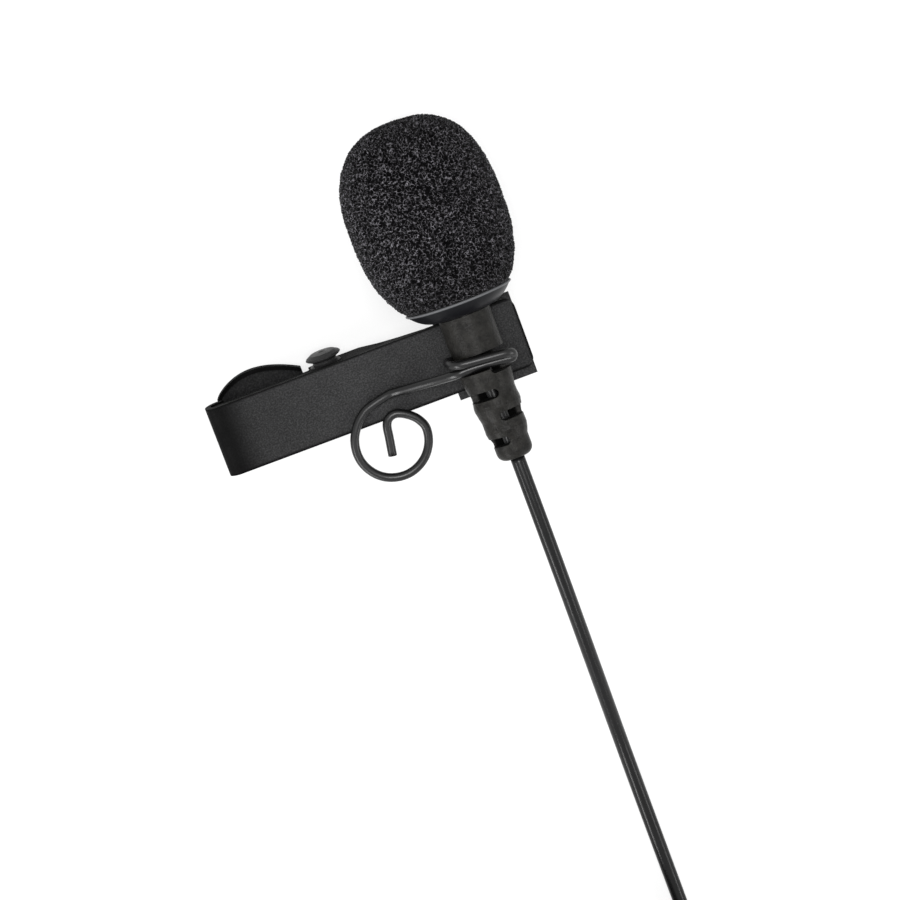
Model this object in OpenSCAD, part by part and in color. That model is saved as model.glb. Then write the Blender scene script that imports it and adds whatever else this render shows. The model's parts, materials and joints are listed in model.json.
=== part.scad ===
// Lavalier microphone on a tie clip, with its windscreen, cord and headset plug.
// It lies on its back on a table: the bar's face looks up (+Z), the bar runs along X,
// and the microphone lies across it along Y, with the windscreen at the +Y end.

/* [Microphone] */
// Radius of the rubber sleeve round the capsule
sleeve_r = 2.65; // [2.5:0.05:2.9]
// Distance from the bar's centre line to the sleeve's top end
sleeve_top = 4.35; // [4.2:0.05:4.6]
// Lean of the microphone towards the table at the windscreen end, in degrees
lean = 6.5; // [5.5:0.5:7]
// Gap between the sleeve and the bar's edge that it leans on
rest_gap = 0.05; // [0.03:0.01:0.1]
// Outer radius of the metal shell that holds the capsule
shell_r = 2.25; // [2.15:0.05:2.3]
// Wall of the metal shell
shell_t = 0.2; // [0.15:0.05:0.25]
// Distance from the bar's centre line to the shell's open end
shell_top = 10.2; // [9.9:0.1:10.6]
// Height of the perforated cap on the shell
grille_h = 1; // [0.8:0.1:1.2]
// Radius of each hole in the cap
grille_hole_r = 0.2; // [0.15:0.01:0.22]
// Radius of the electret capsule's can
capsule_r = 1.72; // [1.6:0.02:1.8]
// Length of the electret capsule's can
capsule_len = 2.2; // [1.8:0.1:2.4]
// Thickness of the preamplifier board
board_t = 0.5; // [0.4:0.05:0.6]
// Radius of each core wire, with its insulation
core_r = 0.16; // [0.12:0.01:0.18]

/* [Strain relief] */
// Distance from the bar's centre line to the boot's cord end
boot_len = 10.85; // [10.8:0.05:11.5]
// Radius of the boot just below the wire groove
boot_top_r = 2.6; // [2.45:0.05:2.65]
// Radius of the boot's swelling between its slots
boot_mid_r = 2.4; // [2.3:0.05:2.5]
// Radius of the boot's last stretch
boot_low_r = 1.85; // [1.75:0.05:1.95]
// Depth of the groove for the wire, measured from the sleeve's face
groove_depth = 1.25; // [1.2:0.01:1.3]
// Height of each slot in the boot
slot_h = 0.95; // [0.8:0.05:1]
// Depth of each slot's floor behind the boot's axis
slot_floor = 0.6; // [0.4:0.05:0.8]

/* [Windscreen] */
// Largest radius of the foam
foam_r = 7.95; // [7.5:0.05:8.4]
// Distance from the bar's centre line to the foam's widest place
foam_wide_at = 14.15; // [13.6:0.05:14.6]
// Height of the foam above its widest place
foam_up = 10.35; // [9.5:0.05:11]
// Radius of the cup's rim
cup_r = 5.54; // [5.3:0.02:5.8]
// Height of the cup
cup_h = 1.65; // [1.5:0.05:1.8]
// Wall of the cup
cup_t = 0.42; // [0.35:0.01:0.5]
// Radial clearance between the cup's collar and the shell
cup_gap = 0.05; // [0.02:0.01:0.08]
// Travel of the windscreen as it is pulled off
pull_travel = 12; // [8:1:16]

/* [Front bar] */
// Length of the bar, over its curled end
bar_len = 32.5; // [31.5:0.1:33.5]
// Height of the bar
bar_h = 7.25; // [7:0.05:7.4]
// Thickness of the bar's sheet
bar_t = 0.6; // [0.5:0.05:0.65]
// Distance from the microphone's axis to the bar's free end
bar_reach = 5.05; // [4.5:0.05:5.2]
// Radius of the bar's two corners
bar_corner_r = 1; // [0.5:0.1:1.5]
// Outer radius of the bar's curled end
curl_r = 1.3; // [1.25:0.01:1.35]

/* [Thumb lever] */
// Depth of the lever's back behind the bar's face
lever_depth = 6.5; // [6.3:0.02:6.56]
// Thickness of the lever's sheet
lever_t = 0.45; // [0.4:0.01:0.5]
// Height of the lever's side walls at its middle
lever_wall = 0.87; // [0.8:0.01:0.95]
// Half height of the lever at its ends
lever_end_half = 3.7; // [3.65:0.01:3.8]
// Half height of the lever at its widest place
lever_mid_half = 4.8; // [4.4:0.05:5]
// Distance from the pivot pin to the lever's free end
lever_tip_gap = 2.5; // [2.4:0.05:2.6]
// Depth of the lever's back at its free end
lever_tip_depth = 4.47; // [4.44:0.01:4.52]
// Distance from the curl's axis to the lever's deepest place
lever_peak_at = 3.95; // [3.6:0.05:4.2]
// Radial clearance of the lever's bead in the curl
bead_gap = 0.06; // [0.03:0.01:0.09]

/* [Jaw] */
// Distance from the microphone's axis to the pivot pin
pivot_at = 14.6; // [14.5:0.1:15.1]
// Depth of the pivot pin behind the bar's face
pivot_depth = 2.75; // [2.7:0.01:2.8]
// Radius of the pivot pin
pivot_r = 0.7; // [0.6:0.05:0.75]
// Radial clearance of the jaw on the pivot pin
pivot_gap = 0.05; // [0.02:0.01:0.08]
// Thickness of the jaw's sheet
jaw_t = 0.45; // [0.4:0.01:0.5]
// Half height of the jaw's arm
jaw_half = 3.32; // [3.2:0.02:3.36]
// Radius of the jaw's ears round the pivot pin
ear_r = 1.83; // [1.8:0.01:1.86]
// Width of the gripping plate along the bar
plate_w = 8.2; // [7.5:0.1:8.6]
// Height of the gripping plate
plate_h = 8.66; // [8.2:0.02:8.7]
// Thickness of the gripping plate
plate_t = 0.6; // [0.5:0.05:0.7]
// Distance of the plate's middle below the bar's centre line
plate_drop = 0.28; // [0.25:0.01:0.34]
// Height of the teeth
tooth_h = 0.15; // [0.1:0.01:0.18]
// Gap between the teeth and the bar when the jaw is shut
mouth_gap = 0.1; // [0.08:0.01:0.15]
// Opening angle of the jaw, in degrees
jaw_open = 14; // [10:1:14]

/* [Pivot and spring] */
// Thickness of the pivot bracket's sheet
bracket_t = 0.4; // [0.35:0.01:0.42]
// Gap between the bracket's ears and the jaw's ears
bracket_gap = 0.17; // [0.12:0.01:0.2]
// Radius of the pin's head
pin_head_r = 1.83; // [1.7:0.01:1.9]
// Height of the pin's neck and head above the jaw
pin_head_h = 1.38; // [1.3:0.02:1.5]
// Radius of the pin's neck
pin_neck_r = 1.2; // [1.1:0.02:1.3]
// Diameter of the spring's wire
spring_d = 0.34; // [0.3:0.01:0.36]
// Radius of the spring's curls at the middle of the wire
spring_r = 1.1; // [1.05:0.01:1.12]
// Distance between the spring's curls
spring_pitch = 0.82; // [0.81:0.01:0.84]
// Number of the spring's full curls, besides the half one
spring_curls = 4; // [3:1:4]

/* [Wire holder] */
// Diameter of the wire
wire_d = 0.9; // [0.84:0.01:0.92]
// Radius of the wire's ring for the cord
ring_r = 3.68; // [3.5:0.02:3.9]

/* [Cord] */
// Diameter of the cord
cord_d = 1.5; // [1.46:0.01:1.52]
// Distance between the coil's loops and between its layers
coil_pitch = 1.95; // [1.94:0.01:1.97]
// Radius of the coil's outermost loop
coil_r = 13.2; // [13:0.05:13.4]
// Thickness of the band that ties the coil
tie_t = 0.6; // [0.4:0.05:0.7]
// Width of the band that ties the coil
tie_w = 4; // [3:0.5:5]

/* [Plug] */
// Radius of the plug's contacts
jack_r = 1.75; // [1.7:0.01:1.8]
// Length of the plug's contacts
jack_len = 14; // [13.5:0.1:14.5]
// Radius of the plug's grip
grip_r = 2.8; // [2.6:0.05:3]
// Length of the plug's grip
grip_len = 14; // [12:0.5:15]
// Length of the plug's strain relief
relief_len = 7; // [6:0.5:8]

/* [Hidden] */
$fn = 64;

// Finishes
charcoal = [0.13, 0.13, 0.14];
dark_metal = [0.10, 0.10, 0.11];
rubber_black = [0.16, 0.155, 0.15];
foam_black = [0.08, 0.08, 0.09];
bright_metal = [0.75, 0.75, 0.77];

// A sliver by which a cut runs past a face
past = 0.1;

// Front bar: the curl's axis lies behind the face at the bar's far end.
bar_half = bar_h / 2;
curl_x = bar_reach - bar_len + curl_r;
curl_in_r = curl_r - bar_t;
curl_end_angle = 300;
notch_half = 1.75;
neck_half = 1.6;
neck_t = 0.5;
anchor_x = -0.7;
anchor_y = -0.75;
anchor_gap = 0.03;

// Microphone: its axis leans on the bar's top edge.
mic_z = (sleeve_r + rest_gap + bar_half * sin(lean)) / cos(lean);
groove_top = 0.35;
groove_bottom = -1.45;
groove_r = sleeve_r - groove_depth;
cable_gap = 0.03;
pocket_floor = 0.6;
shell_gap = 0.02;
shell_in_r = shell_r - shell_t;
shell_bottom = pocket_floor + 0.05;
cable_inner_end = pocket_floor + 1.85;
crimp_t = 0.4;
crimp_len = 1.7;
capsule_at = shell_top - 0.5 - capsule_len;
pin_len = 0.5;
pin_r = 0.15;
board_at = capsule_at - pin_len - board_t;
board_r = shell_in_r - 0.15;
gasket_inset = 0.3;
screen_t = 0.15;

// Windscreen: the cup is a shallow bowl, and the foam is an egg that fills it.
cup_gap_low = 0.09;
cup_bottom = sleeve_top + cup_gap_low;
cup_rim = cup_bottom + cup_h;
cup_neck_r = 2.7;
cup_bore_r = shell_r + cup_gap;
cup_curve = 2.2;
collar_t = 0.45;
collar_h = 2.1;
foam_down = 10.2;
foam_top_power = 2.6;
foam_low_power = 2.3;
foam_bore_gap = 0.15;
foam_over = 0.4;

// Boot's rounded end
boot_end_r = 1;
boot_end_round = 0.85;
boot_shoulder = -boot_len + boot_end_round;
boot_tip = [for (i = [0:6]) let (a = 15 * i)
    [boot_end_r + (boot_low_r - boot_end_r) * cos(a), boot_shoulder - boot_end_round * sin(a)]];

// Table: the foam and the lever's back set how high the bar's face stands.
function foam_half(s) = let (up = s > foam_wide_at,
        reach = up ? foam_up : foam_down,
        power = up ? foam_top_power : foam_low_power,
        u = min(1, abs(s - foam_wide_at) / reach))
    foam_r * pow(1 - pow(u, power), 1 / power);
foam_steps = 36;
foam_low_steps = 20;
foam_rest = 0.03;
foam_edge = cup_rim + foam_rest;
foam_curve = concat(
    [for (i = [0:foam_low_steps]) let (s = foam_edge + (foam_wide_at - foam_edge) * i / foam_low_steps)
        [foam_half(s), s]],
    [for (i = [1:foam_steps]) let (s = foam_wide_at + foam_up * sin(90 * i / foam_steps))
        [i == foam_steps ? 0 : foam_half(s), s]]);
foam_low = max([for (p = foam_curve) p[0] * cos(lean) + p[1] * sin(lean)]) - mic_z;
lift = max(foam_low, lever_depth);

// Home: the origin is on the table, under the middle of the object without its cord.
left_end = bar_reach - bar_len;
right_end = max(foam_r, bar_reach);
far_end = max([for (p = foam_curve) p[1] * cos(lean) + p[0] * sin(lean)]);
near_end = min([for (p = boot_tip) p[1] * cos(lean) - p[0] * sin(lean)]);
home = [-(left_end + right_end) / 2, -(near_end + far_end) / 2, lift];

// Jaw: its shut gap, its plate and the tongue that the plate is welded to.
tooth_face = bar_t + mouth_gap;
plate_face = tooth_face + tooth_h;
plate_back = plate_face + plate_t;
plate_right = bar_reach - 0.1;
plate_left = plate_right - plate_w;
jaw_back = pivot_depth + ear_r;
ear_front = bar_t + 0.35;
tail_step = 0.68;
tail_reach = 3.8;
tail_half = 3.05;
tongue_half = 2.4;
tongue_len = 5;
tooth_count = 5;
tooth_pitch = 1.1;

// Bracket and pin
bracket_out = jaw_half - jaw_t - bracket_gap;
bracket_ear_r = 1.2;
bracket_w = 4.2;
pin_seat_gap = 0.02;
head_gap = 0.1;
peen_h = 0.35;
peen_r = 1;

// Lever: two arcs meet at its deepest place, and its plan is an oval cut at both ends.
lever_left = curl_x + 0.1;
lever_right = -pivot_at - lever_tip_gap;
lever_peak = curl_x + lever_peak_at;
lever_skew = 0.85;
lever_start_depth = 2 * curl_r + 0.3;
bow_steps = 14;
plan_steps = 24;

// Coupling: the lever turns this many degrees for each degree of the jaw.
lever_ratio = -0.2786;

// Bow of the lever: the arcs' radii follow from their run and drop.
function arc_radius(run, drop) = (run * run + drop * drop) / (2 * drop);
function bow_line(peak_depth, left_x, left_depth, right_depth) =
    let (left_run = lever_peak - left_x, left_drop = peak_depth - left_depth,
        right_run = lever_right - lever_peak, right_drop = peak_depth - right_depth,
        left_arc = arc_radius(left_run, left_drop), right_arc = arc_radius(right_run, right_drop),
        left_sweep = 2 * atan(left_drop / left_run), right_sweep = 2 * atan(right_drop / right_run))
    concat(
        [for (i = [bow_steps:-1:1]) let (a = left_sweep * i / bow_steps)
            [lever_peak - left_arc * sin(a), -(peak_depth - left_arc * (1 - cos(a)))]],
        [for (i = [0:bow_steps]) let (a = right_sweep * i / bow_steps)
            [lever_peak + right_arc * sin(a), -(peak_depth - right_arc * (1 - cos(a)))]]);
function reversed(points) = [for (i = [len(points) - 1:-1:0]) points[i]];

// Half height of the lever at the share u of its length
function lever_half(u, inset) =
    lever_end_half + (lever_mid_half - lever_end_half) * sin(180 * pow(u, lever_skew)) - inset;

// A unit vector, and the frame that is carried along a path without twisting
function unit(v) = v / norm(v);
function heading(path, i) =
    i == 0 ? unit(path[1] - path[0])
    : i == len(path) - 1 ? unit(path[i] - path[i - 1])
    : unit(unit(path[i + 1] - path[i]) + unit(path[i] - path[i - 1]));
function side_of(dir, near) = unit(near - dir * (near * dir));
function sides(path, first, i = 0, found = []) =
    i == len(path) ? found
    : let (side = side_of(heading(path, i), i == 0 ? first : found[i - 1]))
        sides(path, first, i + 1, concat(found, [side]));

// A closed tube along a path, with so many flat sides
module tube(path, r, facets, first = [0, 0, 1]) {
    across = sides(path, first);
    count = len(path);
    rings = [for (i = [0:count - 1]) let (dir = heading(path, i), up = cross(dir, across[i]))
        for (k = [0:facets - 1]) let (a = 360 * k / facets)
            path[i] + r * (cos(a) * across[i] + sin(a) * up)];
    walls = [for (i = [0:count - 2]) for (k = [0:facets - 1])
        let (a = i * facets + k, b = i * facets + (k + 1) % facets)
        each [[a, b, b + facets], [a, b + facets, a + facets]]];
    low_cap = [for (k = [1:facets - 2]) [0, k + 1, k]];
    high = (count - 1) * facets;
    high_cap = [for (k = [1:facets - 2]) [high, high + k, high + k + 1]];
    polyhedron(points = rings, faces = [for (f = concat(walls, low_cap, high_cap)) reversed(f)]);
}

// A smooth curve through hand-picked points
function between(a, b, c, d, t) = 0.5 * (2 * b + (c - a) * t + (2 * a - 5 * b + 4 * c - d) * t * t
    + (3 * b - a - 3 * c + d) * t * t * t);
function smooth(points, steps) = let (last = len(points) - 1)
    concat([for (i = [0:last - 1]) for (k = [0:steps - 1])
        between(points[max(0, i - 1)], points[i], points[i + 1], points[min(last, i + 2)], k / steps)],
        [points[last]]);

// Microphone frame: z runs along its axis to the windscreen, and -y looks up
module mic_frame() translate([0, 0, mic_z]) rotate([-90 - lean, 0, 0]) children();
function on_axis(s) = [0, s * cos(lean), mic_z - s * sin(lean)];

// A ring from s = low to s = high
module ring_at(low, high, outer, inner) translate([0, 0, low]) difference() {
    cylinder(h = high - low, r = outer);
    translate([0, 0, -past]) cylinder(h = high - low + 2 * past, r = inner);
}
module disc_at(low, high, r) translate([0, 0, low]) cylinder(h = high - low, r = r);

// A profile in the XZ plane, as thick as its height along Y
module along_y(height) rotate([90, 0, 0]) linear_extrude(height = height, center = true) children();

// Cup's wall: a power curve from its neck to its rim
cup_steps = 12;
function cup_curve_at(r) = pow((r - cup_neck_r) / (cup_r - cup_neck_r), cup_curve) * cup_h;
cup_outside = [for (i = [0:cup_steps]) let (r = cup_neck_r + (cup_r - cup_neck_r) * i / cup_steps)
    [r, cup_bottom + cup_curve_at(r)]];
cup_inside = [for (i = [1:cup_steps])
    [cup_neck_r + (cup_r - cup_t - cup_neck_r) * i / cup_steps,
        cup_bottom + cup_t + (cup_h - cup_t) * pow(i / cup_steps, cup_curve)]];
collar_r = cup_bore_r + collar_t;
collar_top = cup_bottom + collar_h;
collar_foot = cup_bottom + cup_t;

module windscreen() color(foam_black) mic_frame() rotate_extrude() polygon(concat(
    [[0, foam_wide_at + foam_up]],
    [[0, shell_top + grille_h + foam_over]],
    [[shell_r + foam_bore_gap, shell_top + grille_h + foam_over]],
    [[shell_r + foam_bore_gap, collar_top + foam_rest], [collar_r + foam_rest, collar_top + foam_rest]],
    [[collar_r + foam_rest, collar_foot + foam_rest]],
    [for (p = cup_inside) if (p[0] > collar_r + foam_rest) p + [0, foam_rest]],
    [for (i = [0:len(foam_curve) - 2]) foam_curve[i]]));

module windscreen_cup() color(dark_metal) mic_frame() rotate_extrude() polygon(concat(
    [[cup_bore_r, cup_bottom]], cup_outside,
    [for (p = reversed(cup_inside)) if (p[0] > collar_r) p],
    [[collar_r, collar_foot], [collar_r, collar_top], [cup_bore_r, collar_top]]));

// Perforated cap: one hole in the middle and two rings of six and twelve
module capsule_grille() color(bright_metal) mic_frame() difference() {
    disc_at(shell_top, shell_top + grille_h, shell_r);
    disc_at(shell_top - past, shell_top + grille_h - shell_t, shell_in_r);
    for (ring = [0:2])
        for (k = [0:max(1, 6 * ring) - 1])
            rotate([0, 0, 60 * k / max(1, ring)])
                translate([ring * grille_hole_r * 3.4, 0, shell_top]) cylinder(h = grille_h + past, r = grille_hole_r);
}

module acoustic_screen() color(foam_black) mic_frame()
    disc_at(shell_top + grille_h - shell_t - screen_t, shell_top + grille_h - shell_t, shell_in_r);

module mic_shell() color(bright_metal) mic_frame() ring_at(shell_bottom, shell_top, shell_r, shell_in_r);

// Capsule: a can with a sound port and two solder pins
module electret_capsule() color(bright_metal) mic_frame() {
    difference() {
        disc_at(capsule_at, capsule_at + capsule_len, capsule_r);
        disc_at(capsule_at + capsule_len - 0.2, capsule_at + capsule_len + past, capsule_r - 0.25);
        disc_at(capsule_at + capsule_len - 0.6, capsule_at + capsule_len, 0.3);
    }
    for (side = [-1, 1])
        translate([side * 0.8, 0, 0]) disc_at(capsule_at - pin_len, capsule_at + past, pin_r);
}

module capsule_gasket() color(rubber_black) mic_frame()
    ring_at(capsule_at + gasket_inset, capsule_at + capsule_len - gasket_inset, shell_in_r, capsule_r);

// Board: a disc with a transistor and a resistor on its cord side
module preamp_board() color([0.1, 0.3, 0.15]) mic_frame() {
    disc_at(board_at, board_at + board_t, board_r);
    translate([-0.95, -1.35, board_at - 0.5]) cube([1.9, 0.8, 0.5 + past]);
    translate([-0.6, 0.75, board_at - 0.35]) cube([1.2, 0.6, 0.35 + past]);
}

module core_wires() color([0.7, 0.2, 0.15]) mic_frame()
    for (k = [0:2])
        rotate([0, 0, 30 + 120 * k]) translate([0.36, 0, 0]) disc_at(cable_inner_end, board_at, core_r);

module cable_crimp() color(bright_metal) mic_frame()
    ring_at(pocket_floor, pocket_floor + crimp_len, cord_d / 2 + crimp_t, cord_d / 2);

module cable_end() color(rubber_black) mic_frame() disc_at(-boot_len, cable_inner_end, cord_d / 2);

// Boot: the sleeve, the groove for the wire, and the slotted strain relief in one moulding
boot_outline = [
    [sleeve_r, sleeve_top], [sleeve_r, groove_top], [groove_r, groove_top], [groove_r, groove_bottom],
    [boot_top_r, groove_bottom], [boot_top_r - 0.08, -2.6], [boot_top_r - 0.2, -3.35],
    [boot_mid_r - 0.1, -3.9], [boot_mid_r - 0.08, -4.5], [boot_mid_r, -4.95], [boot_mid_r, -5.3],
    [boot_mid_r - 0.15, -6.05], [boot_mid_r - 0.27, -6.6], [boot_mid_r - 0.27, -7.2],
    [boot_mid_r - 0.25, -7.75], [boot_mid_r - 0.35, -8.25], [boot_low_r, -8.85]];
slot_at = [-1.55, -3.9, -6.35, -8.75];
slot_end = [0.5, -0.5, -0.2, 0.05];

// Slots: blind ones with a round end, from the right and the left by turns
module slots() for (i = [0:3]) mirror([i % 2, 0, 0]) {
    reach = sleeve_r + past;
    translate([slot_end[i] + slot_h / 2, -reach, slot_at[i] - slot_h / 2])
        cube([reach, reach + slot_floor, slot_h]);
    translate([slot_end[i] + slot_h / 2, slot_floor, slot_at[i]]) rotate([90, 0, 0])
        cylinder(h = reach + slot_floor, r = slot_h / 2);
}

module boot() color(rubber_black) mic_frame() difference() {
    rotate_extrude() polygon(concat([[0, sleeve_top]], boot_outline, boot_tip, [[0, -boot_len]]));
    disc_at(pocket_floor, sleeve_top + past, shell_r + shell_gap);
    disc_at(-boot_len - past, pocket_floor + past, cord_d / 2);
    slots();
}

// Front bar: a flat sheet whose end curls back round the lever's bead
module bar_plan() {
    translate([left_end - past, -bar_half]) square([bar_len + past - bar_corner_r, bar_h]);
    translate([0, -bar_half + bar_corner_r]) square([bar_reach, bar_h - 2 * bar_corner_r]);
    for (side = [-1, 1])
        translate([bar_reach - bar_corner_r, side * (bar_half - bar_corner_r)]) circle(r = bar_corner_r);
}
module wedge_of(from, to, reach) polygon(concat([[0, 0]],
    [for (i = [0:8]) let (a = from + (to - from) * i / 8) [reach * cos(a), reach * sin(a)]]));

module front_bar() color(charcoal) difference() {
    intersection() {
        along_y(bar_h) {
            translate([curl_x, -bar_t]) square([bar_reach - curl_x, bar_t]);
            translate([curl_x, -curl_r]) intersection() {
                difference() {
                    circle(r = curl_r);
                    circle(r = curl_in_r);
                }
                wedge_of(90, curl_end_angle, 2 * curl_r);
            }
        }
        translate([0, 0, -lever_depth]) linear_extrude(height = lever_depth + past) bar_plan();
    }
    along_y(2 * notch_half) translate([curl_x, -curl_r]) wedge_of(205, curl_end_angle + 5, 2 * curl_r);
    translate([anchor_x, anchor_y, -bar_t - past]) cylinder(h = bar_t + 2 * past, r = wire_d / 2 + anchor_gap);
}

// Thumb lever: a dished channel with a neck and a bead that turns in the bar's curl
module lever_plan(inset, open) {
    span = lever_right - lever_left;
    edge = [for (i = [0:plan_steps]) let (u = i / plan_steps) [lever_left + span * u, lever_half(u, inset)]];
    polygon(concat(edge, [for (p = reversed(edge)) [p[0], -p[1]]]));
    if (open) {
        end_half = lever_end_half - inset;
        translate([lever_right - past, -end_half]) square([2, 2 * end_half]);
        translate([lever_left - 2, -end_half]) square([2 + past, 2 * end_half]);
    }
}
module lever_slab(front, inset, open) intersection() {
    translate([0, 0, -lever_depth - past]) linear_extrude(height = lever_depth) lever_plan(inset, open);
    along_y(2 * lever_mid_half + 1) polygon(front);
}
lever_back = bow_line(lever_depth, lever_left, lever_start_depth, lever_tip_depth);
lever_rim = bow_line(lever_depth - lever_wall, lever_left + 0.2, lever_start_depth, lever_tip_depth - lever_wall);
lever_floor = bow_line(lever_depth - lever_t, lever_left + lever_t, lever_start_depth, lever_tip_depth - lever_t);

module thumb_lever() color(charcoal) {
    difference() {
        lever_slab(concat(lever_back, reversed(lever_rim)), 0, false);
        lever_slab(concat([[lever_left - 1, -lever_start_depth + 1]], [[lever_left - 1, -lever_start_depth]],
            lever_floor, [[lever_right + 1, -lever_tip_depth + lever_t]], [[lever_right + 1, -lever_tip_depth + 2.5]]),
            lever_t, true);
    }
    translate([lever_left, -neck_half, -lever_start_depth - 0.4]) cube([neck_t, 2 * neck_half, lever_start_depth + 0.4 - curl_r]);
    translate([curl_x, bar_half - 0.15, -curl_r]) rotate([90, 0, 0])
        cylinder(h = bar_h - 0.3, r = curl_in_r - bead_gap);
}

// Bracket: a U on the bar's back that carries the pin
module pivot_bracket() color(dark_metal) difference() {
    union() {
        translate([-pivot_at - bracket_w / 2, -bracket_out, -bar_t - bracket_t])
            cube([bracket_w, 2 * bracket_out, bracket_t]);
        for (side = [-1, 1])
            translate([-pivot_at, side * (bracket_out - bracket_t / 2), 0]) along_y(bracket_t) {
                translate([0, -pivot_depth]) circle(r = bracket_ear_r);
                translate([-bracket_ear_r, -pivot_depth])
                    square([2 * bracket_ear_r, pivot_depth - bar_t - past]);
            }
    }
    pivot_hole(pivot_r + pin_seat_gap);
}
module pivot_hole(r) translate([-pivot_at, 0, -pivot_depth]) rotate([90, 0, 0])
    cylinder(h = 4 * jaw_half, r = r, center = true);

// Pin: a peened end, a shank, and a hat on a flared neck
module pivot_pin() color(dark_metal) translate([-pivot_at, 0, -pivot_depth]) rotate([-90, 0, 0])
    rotate_extrude() polygon([
        [0, -jaw_half - head_gap - peen_h], [peen_r * 0.7, -jaw_half - head_gap - peen_h],
        [peen_r, -jaw_half - head_gap - peen_h / 2], [peen_r, -jaw_half - head_gap],
        [pivot_r, -jaw_half - head_gap], [pivot_r, jaw_half + head_gap],
        [pin_neck_r + 0.4, jaw_half + head_gap], [pin_neck_r + 0.1, jaw_half + head_gap + 0.2],
        [pin_neck_r, jaw_half + head_gap + 0.4], [pin_head_r - 0.1, jaw_half + pin_head_h - 0.6],
        [pin_head_r, jaw_half + pin_head_h - 0.5], [pin_head_r - 0.1, jaw_half + pin_head_h - 0.35],
        [pin_head_r - 0.55, jaw_half + pin_head_h - 0.1], [0, jaw_half + pin_head_h]]);

// Jaw: lines of its side view, as distance from the microphone's axis and depth
jaw_back_line = [[-pivot_at, -jaw_back], [-11, -jaw_back], [-9, -3.38], [-7, -2.66],
    [-5, -2.18], [plate_left, -plate_back - jaw_t]];
jaw_wall_front = [[plate_left + 0.4, -plate_back], [-5, -plate_back + 0.1],
    [-9, -plate_back + 0.3], [-11, -ear_front], [-pivot_at, -ear_front]];
tail_bend = -pivot_at - 2.1;
tail_end = -pivot_at - tail_reach;
tail_back = jaw_back - tail_step;
jaw_floor = concat([[tail_end, -tail_back], [tail_bend, -tail_back], [-pivot_at - 0.6, -jaw_back]],
    jaw_back_line, [[plate_left + tongue_len, -plate_back - jaw_t], [plate_left + tongue_len, -plate_back],
    [plate_left + 0.1, -plate_back]],
    [for (i = [4:-1:1]) jaw_back_line[i] + [i > 2 ? 0.1 : 0.15, jaw_t + 0.04]],
    [[-pivot_at - 0.5, -jaw_back + jaw_t], [tail_bend + 0.1, -tail_back + jaw_t], [tail_end, -tail_back + jaw_t]]);

module jaw_plan() {
    translate([-pivot_at - ear_r, -jaw_half]) square([pivot_at + ear_r + plate_left - 1.2, 2 * jaw_half]);
    translate([tail_end, -tail_half]) square([3, 2 * tail_half]);
    translate([plate_left - 1.4, -tongue_half]) square([tongue_len + 2, 2 * tongue_half]);
}
module jaw_wall(side) translate([0, side * (jaw_half - jaw_t / 2), 0]) along_y(jaw_t) {
    polygon(concat(jaw_back_line, jaw_wall_front));
    translate([-pivot_at, -pivot_depth]) difference() {
        circle(r = ear_r);
        translate([-ear_r, pivot_depth - ear_front]) square(2 * ear_r);
    }
}
module jaw_arm() color(charcoal) difference() {
    union() {
        intersection() {
            along_y(2 * jaw_half) polygon(jaw_floor);
            translate([0, 0, -jaw_back - past]) linear_extrude(height = jaw_back) jaw_plan();
        }
        for (side = [-1, 1])
            intersection() {
                jaw_wall(side);
                translate([-pivot_at - 2 * ear_r, -jaw_half, -jaw_back - past])
                    cube([pivot_at + 2 * ear_r + plate_left - 1.2, 2 * jaw_half, jaw_back]);
            }
    }
    pivot_hole(pivot_r + pivot_gap);
}

// Gripping plate: a flat pad with teeth across it
module grip_plate() color(charcoal) translate([plate_left, -plate_h / 2 - plate_drop, -plate_back]) {
    cube([plate_w, plate_h, plate_t]);
    for (i = [0:tooth_count - 1])
        translate([plate_w / 2 + (i - (tooth_count - 1) / 2) * tooth_pitch, plate_h / 2, plate_t - past])
            along_y(plate_h - 2) polygon([[-0.3, 0], [0.3, 0], [0.1, tooth_h + past], [-0.1, tooth_h + past]]);
}

// Spring: one wire, from the leg on the tail, round the pin, to the leg on the bracket
spring_rings = 8;
spring_turns = spring_curls + 0.5;
spring_width = spring_turns * spring_pitch;
spring_leg_gap = 0.02;
tail_leg_depth = tail_back - jaw_t - spring_d / 2 - spring_leg_gap;
base_leg_depth = bar_t + bracket_t + spring_d / 2 + spring_leg_gap;
spring_path = concat(
    [[-pivot_at - 3.3, -spring_width / 2, -tail_leg_depth],
        [-pivot_at - 2.1, -spring_width / 2, -tail_leg_depth - 0.04],
        [-pivot_at - 1, -spring_width / 2, -pivot_depth - spring_r + 0.22]],
    [for (i = [0:round(spring_turns * spring_rings)]) let (a = 270 + 360 * i / spring_rings)
        [-pivot_at + spring_r * cos(a), (i / spring_rings / spring_turns - 0.5) * spring_width,
            -pivot_depth + spring_r * sin(a)]],
    [[-pivot_at - 1, spring_width / 2, -pivot_depth + spring_r + 0.25],
        [-pivot_at - 1.9, spring_width / 2, -base_leg_depth]]);

module return_spring() color(bright_metal) tube(spring_path, spring_d / 2, 6, [0, 1, 0]);

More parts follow.
